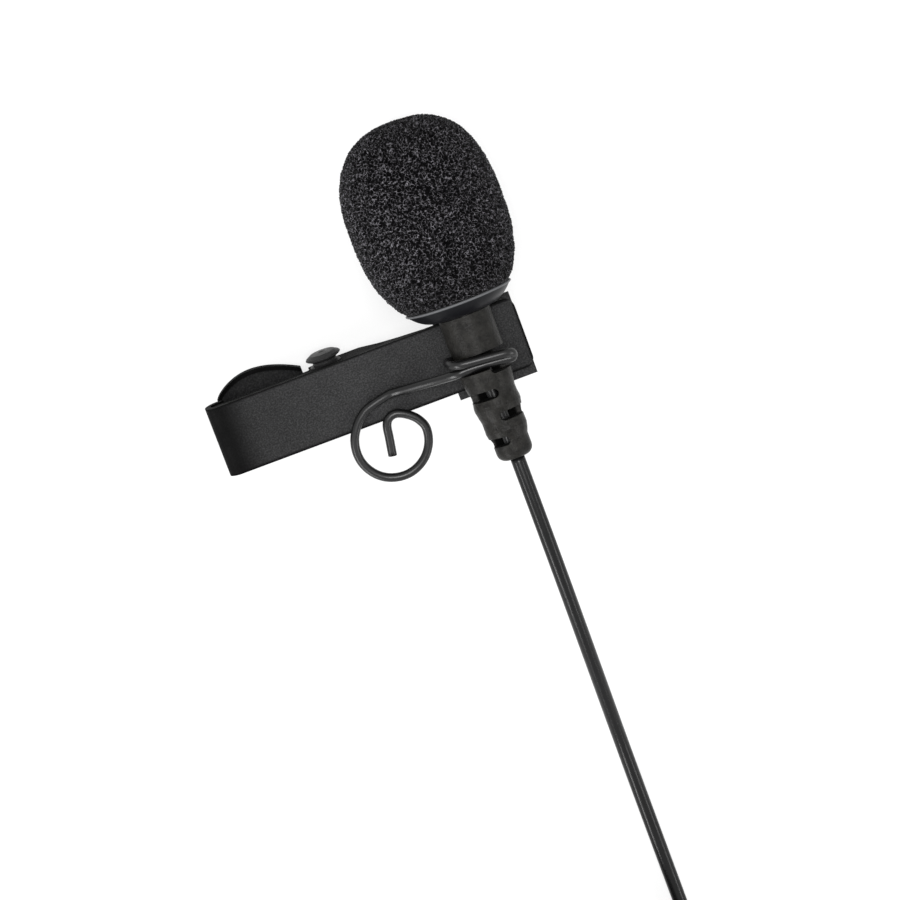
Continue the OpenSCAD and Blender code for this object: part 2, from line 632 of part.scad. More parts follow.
// Wire holder: from its hole in the bar, round the sleeve twice, and down into an open ring
wire_front = mic_z + groove_r + wire_d / 2 + 0.86;
wire_mid = mic_z + groove_r + wire_d / 2 + 0.08;
ring_x = -11.12;
ring_y = -5.7;
ring_z = wire_d / 2 + 0.1;
ring_turns = [[104, 1.1], [119, 1.06], [135, 1.025], [157, 1.005], [180, 1], [202, 1], [225, 1],
    [247, 1], [270, 1], [292, 1], [315, 1], [338, 1], [360, 1], [376, 0.945], [391, 0.874],
    [410, 0.797], [425, 0.731], [438, 0.61]];
wire_start = [[anchor_x, anchor_y, -bar_t + 0.05], [anchor_x, anchor_y, 0.1],
    [anchor_x - 0.3, anchor_y + 0.02, 0.68], [-1.9, anchor_y + 0.13, 0.95], [-2.65, -0.1, 1.5],
    [-3.1, 0.25, 2.4], [-3.2, 0.42, 3.5], [-3.14, 0.43, 4.6], [-2.7, 0.36, 5.42]];
wire_cross = [[-1.9, 0.27, wire_front - 0.03], [0, 0.08, wire_front], [1.4, -0.06, wire_front],
    [2.45, -0.18, wire_front - 0.06], [3, -0.36, wire_front - 0.3], [3.12, -0.66, wire_front - 0.62],
    [2.95, -0.95, wire_mid], [2.45, -0.93, wire_mid - 0.02]];
wire_run = [[1.7, -0.83, wire_mid], [0.8, -0.74, wire_mid], [-0.6, -0.64, wire_mid],
    [-1.8, -0.62, wire_mid - 0.04], [-3, -0.7, wire_mid - 0.25], [-5, -0.88, 3.4], [-7.3, -1, 1.95],
    [-8.8, -1.08, 1], [-9.9, -1.16, ring_z + 0.06]];
wire_end = [[-11.04, -4.1, ring_z], [-11.22, -5.2, ring_z], [-11.4, -6.25, ring_z], [-11.56, -7.2, ring_z]];
wire_ring = [for (t = ring_turns) [ring_x + ring_r * t[1] * cos(t[0]), ring_y + ring_r * t[1] * sin(t[0]) * 1.02, ring_z]];
wire_path = smooth(concat(wire_start, wire_cross, wire_run, wire_ring, wire_end), 2);

module wire_holder() color(dark_metal) tube(wire_path, wire_d / 2, 8, [0, 1, 0]);

// Cord: it leaves the boot, comes down to the table and runs to its coil
table_z = -lift;
cord_rest = 0.02;
on_table = table_z + cord_d / 2 + cord_rest;
coil_base = on_table + tie_t + 0.05;
coil_middle = [-coil_r, -75, coil_base];
coil_layers = 4;
coil_layer_turns = 5;
loop_rings = 24;
coil_turns = coil_layers * coil_layer_turns;
straight_end = cord_d;
lead_points = [on_axis(-boot_len), on_axis(-boot_len - 3), [0, -17.5, 4.95], [0, -21, 4.85],
    [0, -25, 4.05], [0, -30, 2.3], [0, -35, 0.2], [0, -40, -2], [0, -45, -4.1], [0, -49, -5.2],
    [0, -53, on_table], [0, -57, on_table], [0, -61, on_table], [0, -65, on_table + 0.08],
    [0, -69, coil_base - 0.12], [0, -72, coil_base], [0, coil_middle[1] + straight_end, coil_base]];

module cord_lead() color(rubber_black) tube(smooth(lead_points, 2), cord_d / 2, 8);

// Coil: its radius swings in and out once a layer, and it climbs where the swing turns back
function swing(turn) = let (all = coil_layers * coil_layer_turns, t = turn % (2 * coil_layer_turns))
    turn > all ? all - turn : t < coil_layer_turns ? t : 2 * coil_layer_turns - t;
function climbed(turn) = let (layer = round(turn / coil_layer_turns), near = turn - layer * coil_layer_turns)
    layer < 1 || layer > coil_layers - 1 ? min(max(layer, 0), coil_layers) - (layer < 1 ? 0 : 1)
    : near > 0.25 ? layer : near < -0.25 ? layer - 1 : layer - 0.5 + 2 * near;
function coil_point(turn) = let (r = coil_r - coil_pitch * swing(turn))
    coil_middle + [r * cos(-360 * turn), r * sin(-360 * turn), coil_pitch * climbed(turn)];
coil_count = round(coil_turns * loop_rings);
coil_loops = [for (i = [0:coil_count]) coil_point(i / loop_rings)];
coil_leave = coil_loops[coil_count] + [0, -straight_end, 0];
coil_path = concat([[0, coil_middle[1] + straight_end, coil_base]], coil_loops, [coil_leave]);

module cord_coil() color(rubber_black) tube(coil_path, cord_d / 2, 6);

// Gap of a coiled tube to itself, over the points that are at least half a turn apart
function self_gap(path, r, apart) = min([for (i = [0:len(path) - 1 - apart])
    for (k = [i + apart:len(path) - 1]) norm(path[i] - path[k])]) - 2 * r;
union() {
    echo(coil_gap = self_gap(coil_path, cord_d / 2, loop_rings / 2));
    echo(spring_gap = self_gap(spring_path, spring_d / 2, spring_rings - 1));
}

// Plug frame: z runs from the cord's end of the strain relief to the plug's tip
relief_bore_depth = 3;
plug_axis = table_z + grip_r + cord_rest;
plug_start = [coil_leave[0], coil_leave[1] - 17, plug_axis];
tail_points = [coil_leave, coil_leave + [0, -2.5, -0.25], coil_leave + [0, -5.5, -1.2],
    [coil_leave[0], coil_leave[1] - 9, plug_axis + 1.2], [coil_leave[0], coil_leave[1] - 12, plug_axis + 0.25],
    [coil_leave[0], coil_leave[1] - 14.5, plug_axis], plug_start + [0, -relief_bore_depth, 0]];

module cord_tail() color(rubber_black) tube(smooth(tail_points, 2), cord_d / 2, 8);

// Band round the coil's far side
tie_in = coil_r - coil_layer_turns * coil_pitch - cord_d;
tie_out = coil_r + cord_d;
tie_top = coil_base + (coil_layers - 1) * coil_pitch + cord_d / 2 + 0.05;
module cord_tie() color(rubber_black) translate([coil_middle[0], coil_middle[1] - tie_w / 2, 0]) difference() {
    translate([-tie_out - tie_t, 0, on_table - cord_d / 2])
        cube([tie_out - tie_in + 2 * tie_t, tie_w, tie_top + tie_t - on_table + cord_d / 2]);
    translate([-tie_out, -past, on_table - cord_d / 2 + tie_t])
        cube([tie_out - tie_in, tie_w + 2 * past, tie_top - on_table + cord_d / 2 - tie_t]);
}

module plug_frame() translate(plug_start) rotate([90, 0, 0]) children();
relief_r = 1.4;
relief_rib = 0.25;
relief_ribs = 4;
module plug_relief() color(rubber_black) plug_frame() difference() {
    union() {
        cylinder(h = relief_len, r1 = relief_r, r2 = relief_r + 0.6);
        for (i = [0:relief_ribs - 1])
            disc_at(0.2 + i * relief_len / relief_ribs, 0.2 + (i + 0.5) * relief_len / relief_ribs,
                relief_r + relief_rib + 0.6 * i / relief_ribs);
    }
    disc_at(-past, relief_bore_depth + past, cord_d / 2 + cable_gap);
}
grip_end = relief_len + grip_len;
module plug_grip() color(dark_metal) plug_frame() rotate_extrude() polygon([
    [0, relief_len], [grip_r - 0.5, relief_len], [grip_r, relief_len + 0.7], [grip_r, grip_end - 3],
    [grip_r - 0.15, grip_end - 2.8], [grip_r - 0.15, grip_end - 2.4], [grip_r, grip_end - 2.2],
    [grip_r, grip_end - 0.3], [grip_r - 0.3, grip_end], [0, grip_end]]);

// Contacts: a sleeve, two rings and a tip on one insulating core
core_of_jack = jack_r - 0.5;
band_w = 0.6;
band_at = [4, 7, 10];
jack_end = grip_end + jack_len;
seat = 0.01;
module contact(from_tip, to_tip) ring_at(jack_end - to_tip, jack_end - from_tip, jack_r, core_of_jack + seat);
module jack_sleeve() color(bright_metal) plug_frame() contact(band_at[2] + band_w + seat, jack_len - seat);
module jack_rings() color(bright_metal) plug_frame()
    for (i = [0:1]) contact(band_at[i] + band_w + seat, band_at[i + 1] - seat);
module jack_tip() color(bright_metal) plug_frame() difference() {
    rotate_extrude() polygon([[0, jack_end - band_at[0] + seat], [jack_r, jack_end - band_at[0] + seat],
        [jack_r, jack_end - 3.6], [jack_r - 0.5, jack_end - 2.9], [jack_r - 0.45, jack_end - 2.5],
        [jack_r, jack_end - 1.9], [jack_r - 0.1, jack_end - 1.4], [0.5, jack_end], [0, jack_end]]);
    disc_at(jack_end - band_at[0], jack_end - band_at[0] + 0.5, core_of_jack - 0.4);
}
module jack_insulator() color(rubber_black) plug_frame() {
    disc_at(grip_end, jack_end - band_at[0], core_of_jack);
    disc_at(grip_end, jack_end - band_at[0] + 0.45, core_of_jack - 0.42);
    for (at = band_at) disc_at(jack_end - at - band_w, jack_end - at, jack_r);
}

module place() translate(home) children();
place() windscreen();
place() windscreen_cup();
place() capsule_grille();
place() acoustic_screen();
place() mic_shell();
place() electret_capsule();
place() capsule_gasket();
place() preamp_board();
place() core_wires();
place() cable_crimp();
place() cable_end();
place() boot();
place() wire_holder();
place() front_bar();
place() thumb_lever();
place() pivot_bracket();
place() pivot_pin();
place() return_spring();
place() jaw_arm();
place() grip_plate();
place() cord_lead();
place() cord_coil();
place() cord_tail();
place() cord_tie();
place() plug_relief();
place() plug_grip();
place() jack_sleeve();
place() jack_rings();
place() jack_tip();
place() jack_insulator();
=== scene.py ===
"""Lapel microphone on its tie clip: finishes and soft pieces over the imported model."""

import json
import math

import bpy
import numpy as np
from bpy.props import FloatProperty, FloatVectorProperty, IntProperty, PointerProperty
from bpy.types import NodeSocket, Operator, Panel, PropertyGroup
from mathutils import Matrix, Vector, noise


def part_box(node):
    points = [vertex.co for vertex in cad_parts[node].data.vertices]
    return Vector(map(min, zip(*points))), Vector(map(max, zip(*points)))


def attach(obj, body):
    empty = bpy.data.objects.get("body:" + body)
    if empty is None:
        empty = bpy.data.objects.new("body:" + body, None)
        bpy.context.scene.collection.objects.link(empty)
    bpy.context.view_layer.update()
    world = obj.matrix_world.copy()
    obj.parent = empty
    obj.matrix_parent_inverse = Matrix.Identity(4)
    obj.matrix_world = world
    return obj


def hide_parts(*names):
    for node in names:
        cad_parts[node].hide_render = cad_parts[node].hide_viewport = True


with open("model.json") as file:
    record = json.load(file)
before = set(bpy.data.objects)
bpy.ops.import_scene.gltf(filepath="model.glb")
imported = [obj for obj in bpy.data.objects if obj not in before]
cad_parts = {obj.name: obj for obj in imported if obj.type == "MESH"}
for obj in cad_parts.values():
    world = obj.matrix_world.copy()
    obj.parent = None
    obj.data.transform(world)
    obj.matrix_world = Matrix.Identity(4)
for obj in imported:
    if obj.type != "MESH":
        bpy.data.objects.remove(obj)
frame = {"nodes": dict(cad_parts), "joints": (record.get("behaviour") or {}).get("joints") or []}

bl_info = {
    "name": "Lapel Microphone",
    "version": (1, 0, 0),
    "blender": (4, 5, 0),
    "location": "3D View > Sidebar > Lapel Mic",
    "description": "Builds the finishes, the foam, the wire and the cord of a clip-on lapel microphone",
    "category": "Object",
}

MM = 0.001

# The bar's face is the design plane: x runs along the bar from the microphone's axis,
# y from the bar's centre line, and z up from the face. BAR_REACH is the bar's right end.
BAR_REACH = 5.05
BAR_LOW, BAR_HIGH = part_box("front_bar")
HOME = Vector((BAR_HIGH.x - BAR_REACH * MM, (BAR_LOW.y + BAR_HIGH.y) / 2, BAR_HIGH.z))

# The microphone's axis, its origin on it, and how far along it the origin lies.
TWIST = next(joint for joint in frame["joints"] if joint["name"] == "mic_twist")
MIC_AXIS = Vector(TWIST["axis"]).normalized()
MIC_ORIGIN = Vector(TWIST["pos_m"])
MIC_SIDE = Vector((1, 0, 0))
MIC_FRONT = MIC_SIDE.cross(MIC_AXIS)
MIC_START = MIC_ORIGIN.dot(MIC_AXIS)

# The cup, its collar and the foam's bore, in millimetres from the microphone's axis and origin.
CUP_NECK, CUP_RIM, CUP_WALL = 2.7, 5.54, 0.42
CUP_FOOT, CUP_HEIGHT, CUP_CURVE = 4.44, 1.65, 2.2
COLLAR_BORE, COLLAR_WALL, COLLAR_HEIGHT = 2.3, 0.45, 2.1
BORE_RADIUS, BORE_END = 2.4, 11.6

# The lever's plan, in millimetres of the design plane: its ends, its half widths and its skew.
LEVER_LEFT, LEVER_RIGHT, LEVER_END, LEVER_SWELL, LEVER_SKEW = -26.05, -17.1, 3.7, 1.1, 0.85


def at(x, y, z):
    """A point of the design plane's frame, in millimetres, as a point of the row frame."""
    return HOME + Vector((x, y, z)) * MM


def on_mic(across, front, along):
    """A point of the microphone's frame: across it, up from its axis and along it, in millimetres."""
    return MIC_ORIGIN + (MIC_SIDE * across + MIC_FRONT * front + MIC_AXIS * along) * MM


# ---- settings


def length(name, description, default):
    """A length that a user may change, in metres."""
    return FloatProperty(name=name, description=description, default=default, unit="LENGTH", precision=5, min=0)


def angle(name, description, degrees):
    """An angle that a user may change."""
    return FloatProperty(name=name, description=description, default=math.radians(degrees), subtype="ANGLE")


def colour(name, description, default):
    """A colour that a user may change."""
    return FloatVectorProperty(
        name=name, description=description, default=default, subtype="COLOR", size=3, min=0, max=1
    )


class StageSettings(PropertyGroup):
    camera_distance: length("Camera distance", "From the lens to the point it looks at", 0.45)
    camera_tilt: angle("Camera tilt", "How far the camera leans from straight above", 13.6)
    camera_roll: angle("Camera roll", "How far the camera is turned about its own axis", 20.5)
    picture_width: length("Picture width", "What the picture takes in at the bar's face", 0.0900)
    floor_size: length("Floor size", "Side of the floor", 4.0)
    floor_colour: colour("Floor", "Colour of the floor", (0.26, 0.26, 0.26))


class WindscreenSettings(PropertyGroup):
    radius: length("Foam radius", "Largest radius of the foam", 0.00774)
    widest: length("Widest place", "From the bar's centre line to the widest place", 0.01415)
    rise: length("Rise", "Height of the foam above its widest place", 0.01035)
    fall: length("Fall", "Reach of the foam's lower curve below its widest place", 0.0102)
    lean: length("Lean", "How far the foam's top is pushed to the left", 0.00010)
    shoulder: length("Shoulder", "How far the foam's upper left stands out", 0.00014)
    pore: length("Pore", "Width of the foam's pores", 0.00036)
    pore_depth: length("Pore depth", "Depth of the pores at the surface", 0.00044)
    rings: IntProperty(name="Rings", description="Rings of the foam's skin", default=210, min=40)
    sides: IntProperty(name="Sides", description="Points round each ring", default=400, min=60)
    # The struts' colour is partly the threads' own tone and partly a painted highlight where they catch the
    # light; the pores' colour is painted shade.
    strut: colour("Struts", "Colour of the foam's threads", (0.33, 0.318, 0.352))
    hollow: colour("Pores", "Colour inside the pores", (0.0012, 0.0011, 0.0014))
    # The rim's colour is a painted highlight along the cup's rolled rim.
    rim: colour("Rim", "Highlighted rim of the cup", (0.120, 0.122, 0.128))
    cup: colour("Cup", "Paint of the cup", (0.0026, 0.0027, 0.0036))


class HolderSettings(PropertyGroup):
    diameter: length("Wire", "Diameter of the holder's wire", 0.0009)
    ring_radius: length("Ring", "Radius of the ring for the cord", 0.00368)
    paint: colour("Wire finish", "Colour of the blackened wire", (0.004, 0.004, 0.0042))


class RubberSettings(PropertyGroup):
    boot: colour("Boot", "Colour of the moulded rubber", (0.0042, 0.0040, 0.0036))
    jacket: colour("Cord", "Colour of the cord's jacket", (0.0045, 0.0045, 0.0047))
    cord_diameter: length("Cord", "Diameter of the cord", 0.0015)
    edge: length("Moulded edge", "Radius of the moulded edges", 0.00012)


class ClipSettings(PropertyGroup):
    paint: colour("Clip paint", "Colour of the powder paint", (0.0165, 0.0165, 0.0168))
    back: colour("Back paint", "Colour of the paint on the lever and the jaw", (0.0120, 0.0120, 0.0122))
    edge: length("Sheet edge", "Radius of the sheet's rubbed edges", 0.00007)
    spring_wire: length("Spring wire", "Diameter of the return spring's wire", 0.00034)
    steel: colour("Bright steel", "Colour of the spring and the cap", (0.62, 0.62, 0.63))


class PlugSettings(PropertyGroup):
    gold: colour("Contacts", "Colour of the plated contacts", (0.83, 0.62, 0.27))
    grip: colour("Grip", "Colour of the plug's grip", (0.020, 0.020, 0.022))


SETTINGS = {
    "stage": StageSettings, "windscreen": WindscreenSettings, "holder": HolderSettings,
    "rubber": RubberSettings, "clip": ClipSettings, "plug": PlugSettings,
}


def settings(context, name):
    """One group of the scene's settings."""
    return getattr(context.scene, "lapel_mic_" + name)


# ---- shader nodes


def add_node(tree, kind, feeds=None, **values):
    """A shader node with its own settings, and its inputs linked to sockets or set to values."""
    node = tree.nodes.new("ShaderNode" + kind)
    for key, value in values.items():
        setattr(node, key, value)
    for label, feed in (feeds or {}).items():
        if isinstance(feed, NodeSocket):
            tree.links.new(feed, node.inputs[label])
        else:
            node.inputs[label].default_value = feed
    return node


def reckon(tree, operation, *feeds, kind="Math", output=0):
    """What a Math or VectorMath node makes of its feeds."""
    return add_node(tree, kind, dict(enumerate(feeds)), operation=operation).outputs[output]


def between(tree, value, low, high, to_low=0.0, to_high=1.0, **values):
    """Maps a value from one range to another."""
    feeds = {"Value": value, "From Min": low, "From Max": high, "To Min": to_low, "To Max": to_high}
    return add_node(tree, "MapRange", feeds, **values).outputs["Result"]


def blend(tree, mask, below, above, kind="MIX"):
    """One colour over another, as far as a mask is full."""
    feeds = {0: mask, 6: below, 7: above}
    return add_node(tree, "Mix", feeds, data_type="RGBA", blend_type=kind).outputs[2]


def object_space(tree):
    """Coordinates of the object's own space."""
    return add_node(tree, "TexCoord").outputs["Object"]


def noise_of(tree, scale, detail, roughness, output="Fac"):
    """A noise in the object's own space."""
    feeds = {"Vector": object_space(tree), "Scale": scale, "Detail": detail, "Roughness": roughness}
    return add_node(tree, "TexNoise", feeds).outputs[output]


# ---- shader groups


def new_group(name, inputs, outputs):
    """A shader group, the sockets of its input node and those of its output node."""
    group = bpy.data.node_groups.new(name, "ShaderNodeTree")
    for label, default in inputs.items():
        kind = "Float" if isinstance(default, float) else "Color" if len(default) == 4 else "Vector"
        socket = group.interface.new_socket(label, in_out="INPUT", socket_type="NodeSocket" + kind)
        socket.default_value = default
    for label, kind in outputs.items():
        group.interface.new_socket(label, in_out="OUTPUT", socket_type="NodeSocket" + kind)
    return group, group.nodes.new("NodeGroupInput").outputs, group.nodes.new("NodeGroupOutput").inputs


def spots_group(name, label, default, scale, detail, roughness, low, high):
    """A second colour that shows in spots, where a noise passes a range."""
    inputs = {"Base": (0, 0, 0, 1), label: default, "Scale": scale, "Amount": 0.5}
    group, given, out = new_group(name, inputs, {"Color": "Color"})
    mask = between(group, noise_of(group, given["Scale"], detail, roughness), low, high)
    amount = reckon(group, "MULTIPLY", mask, given["Amount"])
    group.links.new(blend(group, amount, given["Base"], given[label]), out["Color"])
    return group


def mottle_group():
    """Colour that drifts between two tones."""
    return spots_group("Mottle", "Drift", (0, 0, 0, 1), 500.0, 6.0, 0.6, 0.35, 0.65)


def specks_group():
    """Sparse bright specks, such as dust caught in a rough surface."""
    return spots_group("Specks", "Speck", (1, 1, 1, 1), 2500.0, 2.0, 0.7, 0.42, 0.68)


def grain_group():
    """Fine relief, and the uneven gloss that goes with it in patches of eight grains or so."""
    inputs = {"Scale": 3000.0, "Gloss Low": 0.4, "Gloss High": 0.6}
    group, given, out = new_group("Grain", inputs, {"Height": "Float", "Roughness": "Float"})
    patches = noise_of(group, reckon(group, "MULTIPLY", given["Scale"], 0.12), 3.0, 0.5)
    gloss = between(group, patches, 0.3, 0.7, given["Gloss Low"], given["Gloss High"])
    group.links.new(noise_of(group, given["Scale"], 4.0, 0.55), out["Height"])
    group.links.new(gloss, out["Roughness"])
    return group


def reach_group():
    """A mask that rises along a direction of the object's own space."""
    inputs = {"Direction": (1, 0, 0), "From": 0.0, "To": 1.0}
    group, given, out = new_group("Reach", inputs, {"Mask": "Float"})
    space = object_space(group)
    along = reckon(group, "DOT_PRODUCT", space, given["Direction"], kind="VectorMath", output="Value")
    rise = between(group, along, given["From"], given["To"], interpolation_type="SMOOTHSTEP")
    group.links.new(rise, out["Mask"])
    return group


def depth_group():
    """A mask that is full near an axis of the object's own space and gone away from it."""
    inputs = {"Axis": (0, 0, 1), "Point": (0, 0, 0), "Full": 0.0, "Gone": 1.0}
    group, given, out = new_group("Depth", inputs, {"Mask": "Float"})
    arm = reckon(group, "SUBTRACT", object_space(group), given["Point"], kind="VectorMath")
    along = reckon(group, "PROJECT", arm, given["Axis"], kind="VectorMath")
    away = reckon(group, "DISTANCE", arm, along, kind="VectorMath", output="Value")
    fall = between(group, away, given["Full"], given["Gone"], 1.0, 0.0, interpolation_type="SMOOTHSTEP")
    group.links.new(fall, out["Mask"])
    return group


GROUPS = {
    "Mottle": mottle_group, "Grain": grain_group, "Specks": specks_group,
    "Reach": reach_group, "Depth": depth_group,
}


def use_group(tree, name, **feeds):
    """Places a shared group in a material, with that material's own values, and gives its outputs."""
    group = bpy.data.node_groups.get(name) or GROUPS[name]()
    feeds = {label.replace("_", " "): feed for label, feed in feeds.items()}
    return add_node(tree, "Group", feeds, node_tree=group).outputs


# ---- finishes

# The specks of every finish: their scale against the grain's, and how strongly they show.
SPECK_SCALE, SPECK_AMOUNT = 1.3, 0.7

# What is left of a colour under painted shade: at the bar's left end and edges, along its left part,
# at the foam's foot, on the lever's rim and in the boot's slots.
DEEP_SHADED, SHADED, FOOT_LEFT, LEVER_RIM_SHADE, SLOT_SHADE = 0.10, 0.72, 0.55, 0.12, 0.05

# Where the bar's painted shade starts and is full, in metres short of its left end, its sides and its right
# end.
LEFT_END_SHADE, LEFT_SHADE = (-0.0046, -0.0012), (-0.0180, -0.0030)
LOWER_EDGE_SHADE, UPPER_EDGE_SHADE, RIGHT_EDGE_SHADE = (-0.00040, -0.00010), (-0.00030, -0.00005), (-0.00035, -0.00010)

# The boot's slots get painted shade within these radii, above this height along the microphone's axis.
SLOT_FULL, SLOT_GONE, SLOT_LOWEST, SLOT_FADE = 0.00150, 0.00182, -0.0096, (-0.0001, 0.0)

# The lever's rim gets painted shade up to this far in from its outline.
RIM_FULL, RIM_GONE = 0.00042, 0.00056

# Where the painted highlight on the cup's rim starts and is full, short of its top, and the painted shade
# of the foam's foot above the microphone's origin.
RIM_HIGHLIGHT, FOOT_SHADE = (-0.00032, -0.00020), (-0.0135, -0.0060)


def new_material(name, roughness=0.5, metallic=0.0, specular=0.5):
    """A material, its tree and its shader."""
    material = bpy.data.materials.new(name)
    material.use_nodes = True
    shader = material.node_tree.nodes["Principled BSDF"]
    for label, value in (("Roughness", roughness), ("Metallic", metallic), ("Specular IOR Level", specular)):
        shader.inputs[label].default_value = value
    return material, material.node_tree, shader


def add_relief(tree, shader, height, strength, distance):
    """Bumps a finish by a height."""
    bump = add_node(tree, "Bump", {"Strength": strength, "Distance": distance, "Height": height})
    tree.links.new(bump.outputs["Normal"], shader.inputs["Normal"])


def tone(base, factor):
    """A colour made lighter or darker, with its alpha."""
    return tuple(min(1.0, part * factor) for part in base) + (1.0,)


def finish(
    name, base, drift, mottle_scale, grain_scale, gloss, relief,
    specular=0.3, speck=2.0, metallic=0.0, amount=0.6,
):
    """The common build of a finish: a drifting colour with fine specks, uneven gloss and fine relief."""
    material, tree, shader = new_material(name, metallic=metallic, specular=specular)
    mottle = use_group(
        tree, "Mottle", Base=tone(base, 1), Drift=tone(base, drift), Scale=mottle_scale, Amount=amount
    )["Color"]
    fine = grain_scale * SPECK_SCALE
    specks = use_group(tree, "Specks", Base=mottle, Speck=tone(base, speck), Scale=fine, Amount=SPECK_AMOUNT)
    grain = use_group(tree, "Grain", Scale=grain_scale, Gloss_Low=gloss[0], Gloss_High=gloss[1])
    tree.links.new(specks["Color"], shader.inputs["Base Color"])
    tree.links.new(grain["Roughness"], shader.inputs["Roughness"])
    add_relief(tree, shader, grain["Height"], *relief)
    return material


def shade(material, mask, tint, kind="MULTIPLY"):
    """Lays a tint over a finish, as far as a mask is full."""
    tree = material.node_tree
    base = tree.nodes["Principled BSDF"].inputs["Base Color"]
    tree.links.new(blend(tree, mask, base.links[0].from_socket, tint, kind), base)


def reach(material, direction, origin, span):
    """A mask that rises along a direction, over a span that is given from an origin on it."""
    start, end = origin + span[0], origin + span[1]
    return use_group(material.node_tree, "Reach", Direction=direction, From=start, To=end)["Mask"]


def darken(material, factor, *reaches):
    """Lays painted shade on a finish: multiplies it by a factor along reaches, each a direction, an origin on
    it and a span.
    """
    for where in reaches:
        shade(material, reach(material, *where), (factor, factor, factor, 1))


def shade_slots(material, factor):
    """Paints shade into a finish towards the microphone's axis, where slots are cut into it, and dulls it
    there.
    """
    tree = material.node_tree
    deep = use_group(tree, "Depth", Axis=MIC_AXIS, Point=MIC_ORIGIN, Full=SLOT_FULL, Gone=SLOT_GONE)["Mask"]
    above = reach(material, MIC_AXIS, MIC_START + SLOT_LOWEST, SLOT_FADE)
    mask = reckon(tree, "MULTIPLY", deep, above)
    shade(material, mask, (factor, factor, factor, 1))
    gloss = tree.nodes["Principled BSDF"].inputs["Roughness"]
    dull = add_node(tree, "Mix", {0: mask, 2: gloss.links[0].from_socket, 3: 1.0}, data_type="FLOAT")
    tree.links.new(dull.outputs[0], gloss)


def shade_lever_rim(material, factor):
    """Paints shade on the rolled rim that follows the lever's curved sides."""
    tree = material.node_tree
    place = add_node(tree, "SeparateXYZ", {0: object_space(tree)}).outputs
    share = between(tree, place["X"], HOME.x + LEVER_LEFT * MM, HOME.x + LEVER_RIGHT * MM)
    turn = reckon(tree, "MULTIPLY", reckon(tree, "POWER", share, LEVER_SKEW), math.pi)
    swell = reckon(tree, "MULTIPLY", reckon(tree, "SINE", turn), LEVER_SWELL * MM)
    half = reckon(tree, "ADD", swell, LEVER_END * MM)
    away = reckon(tree, "ABSOLUTE", reckon(tree, "SUBTRACT", place["Y"], HOME.y))
    rim = between(tree, reckon(tree, "SUBTRACT", half, away), RIM_FULL, RIM_GONE, 1.0, 0.0)
    shade(material, rim, (factor, factor, factor, 1))


def foam_finish(look):
    """Threads of foam in a painted highlight here and there, over their own dark tone, and the pores between
    them black with painted shade.
    """
    material, tree, shader = new_material("Open foam", roughness=0.8, specular=0.02)
    shader.inputs["Sheen Weight"].default_value = 0.08
    shader.inputs["Sheen Roughness"].default_value = 0.45
    wander = 0.9
    sway = noise_of(tree, wander / look.pore, 2.0, 0.5, "Color")
    shift = add_node(tree, "VectorMath", {0: sway, "Scale": wander * look.pore}, operation="SCALE").outputs[0]
    place = reckon(tree, "ADD", object_space(tree), shift, kind="VectorMath")
    cells = add_node(tree, "TexVoronoi", {"Vector": place, "Scale": 1 / look.pore}, feature="DISTANCE_TO_EDGE")
    thread = between(tree, cells.outputs["Distance"], 0.01, 0.12, 1.0, 0.0)
    # A noise picks the threads that take a painted highlight, as if they caught the light.
    glints = between(tree, noise_of(tree, 1.1 / look.pore, 3.0, 0.7), 0.44, 0.64, 0.04, 1.0)
    lit = reckon(tree, "MULTIPLY", thread, glints)
    # Deeper in a pore the colour goes darker still: painted shade.
    depth = add_node(tree, "Attribute", attribute_name="pore").outputs["Fac"]
    shown = reckon(tree, "MULTIPLY", lit, between(tree, depth, 0.0, 0.7, 0.45, 1.0))
    tones = add_node(tree, "ValToRGB", {"Fac": shown})
    for stop, position, tint in zip(tones.color_ramp.elements, (0.06, 0.85), (look.hollow, look.strut)):
        stop.position, stop.color = position, tone(tint, 1)
    grain = use_group(tree, "Grain", Scale=5200.0, Gloss_Low=0.6, Gloss_High=0.9)
    tree.links.new(tones.outputs["Color"], shader.inputs["Base Color"])
    tree.links.new(grain["Roughness"], shader.inputs["Roughness"])
    add_relief(tree, shader, lit, 1.0, 0.00012)
    return material


def shade_bar(bar):
    """Paints shade on the bar's left end, along its left part and on its edges."""
    half = (BAR_HIGH.y - BAR_LOW.y) / 2
    left = (-1, 0, 0), -BAR_LOW.x
    lower, upper = ((0, -1, 0), half - HOME.y, LOWER_EDGE_SHADE), ((0, 1, 0), half + HOME.y, UPPER_EDGE_SHADE)
    darken(bar, DEEP_SHADED, (*left, LEFT_END_SHADE), lower, upper, ((1, 0, 0), BAR_HIGH.x, RIGHT_EDGE_SHADE))
    darken(bar, SHADED, (*left, LEFT_SHADE))


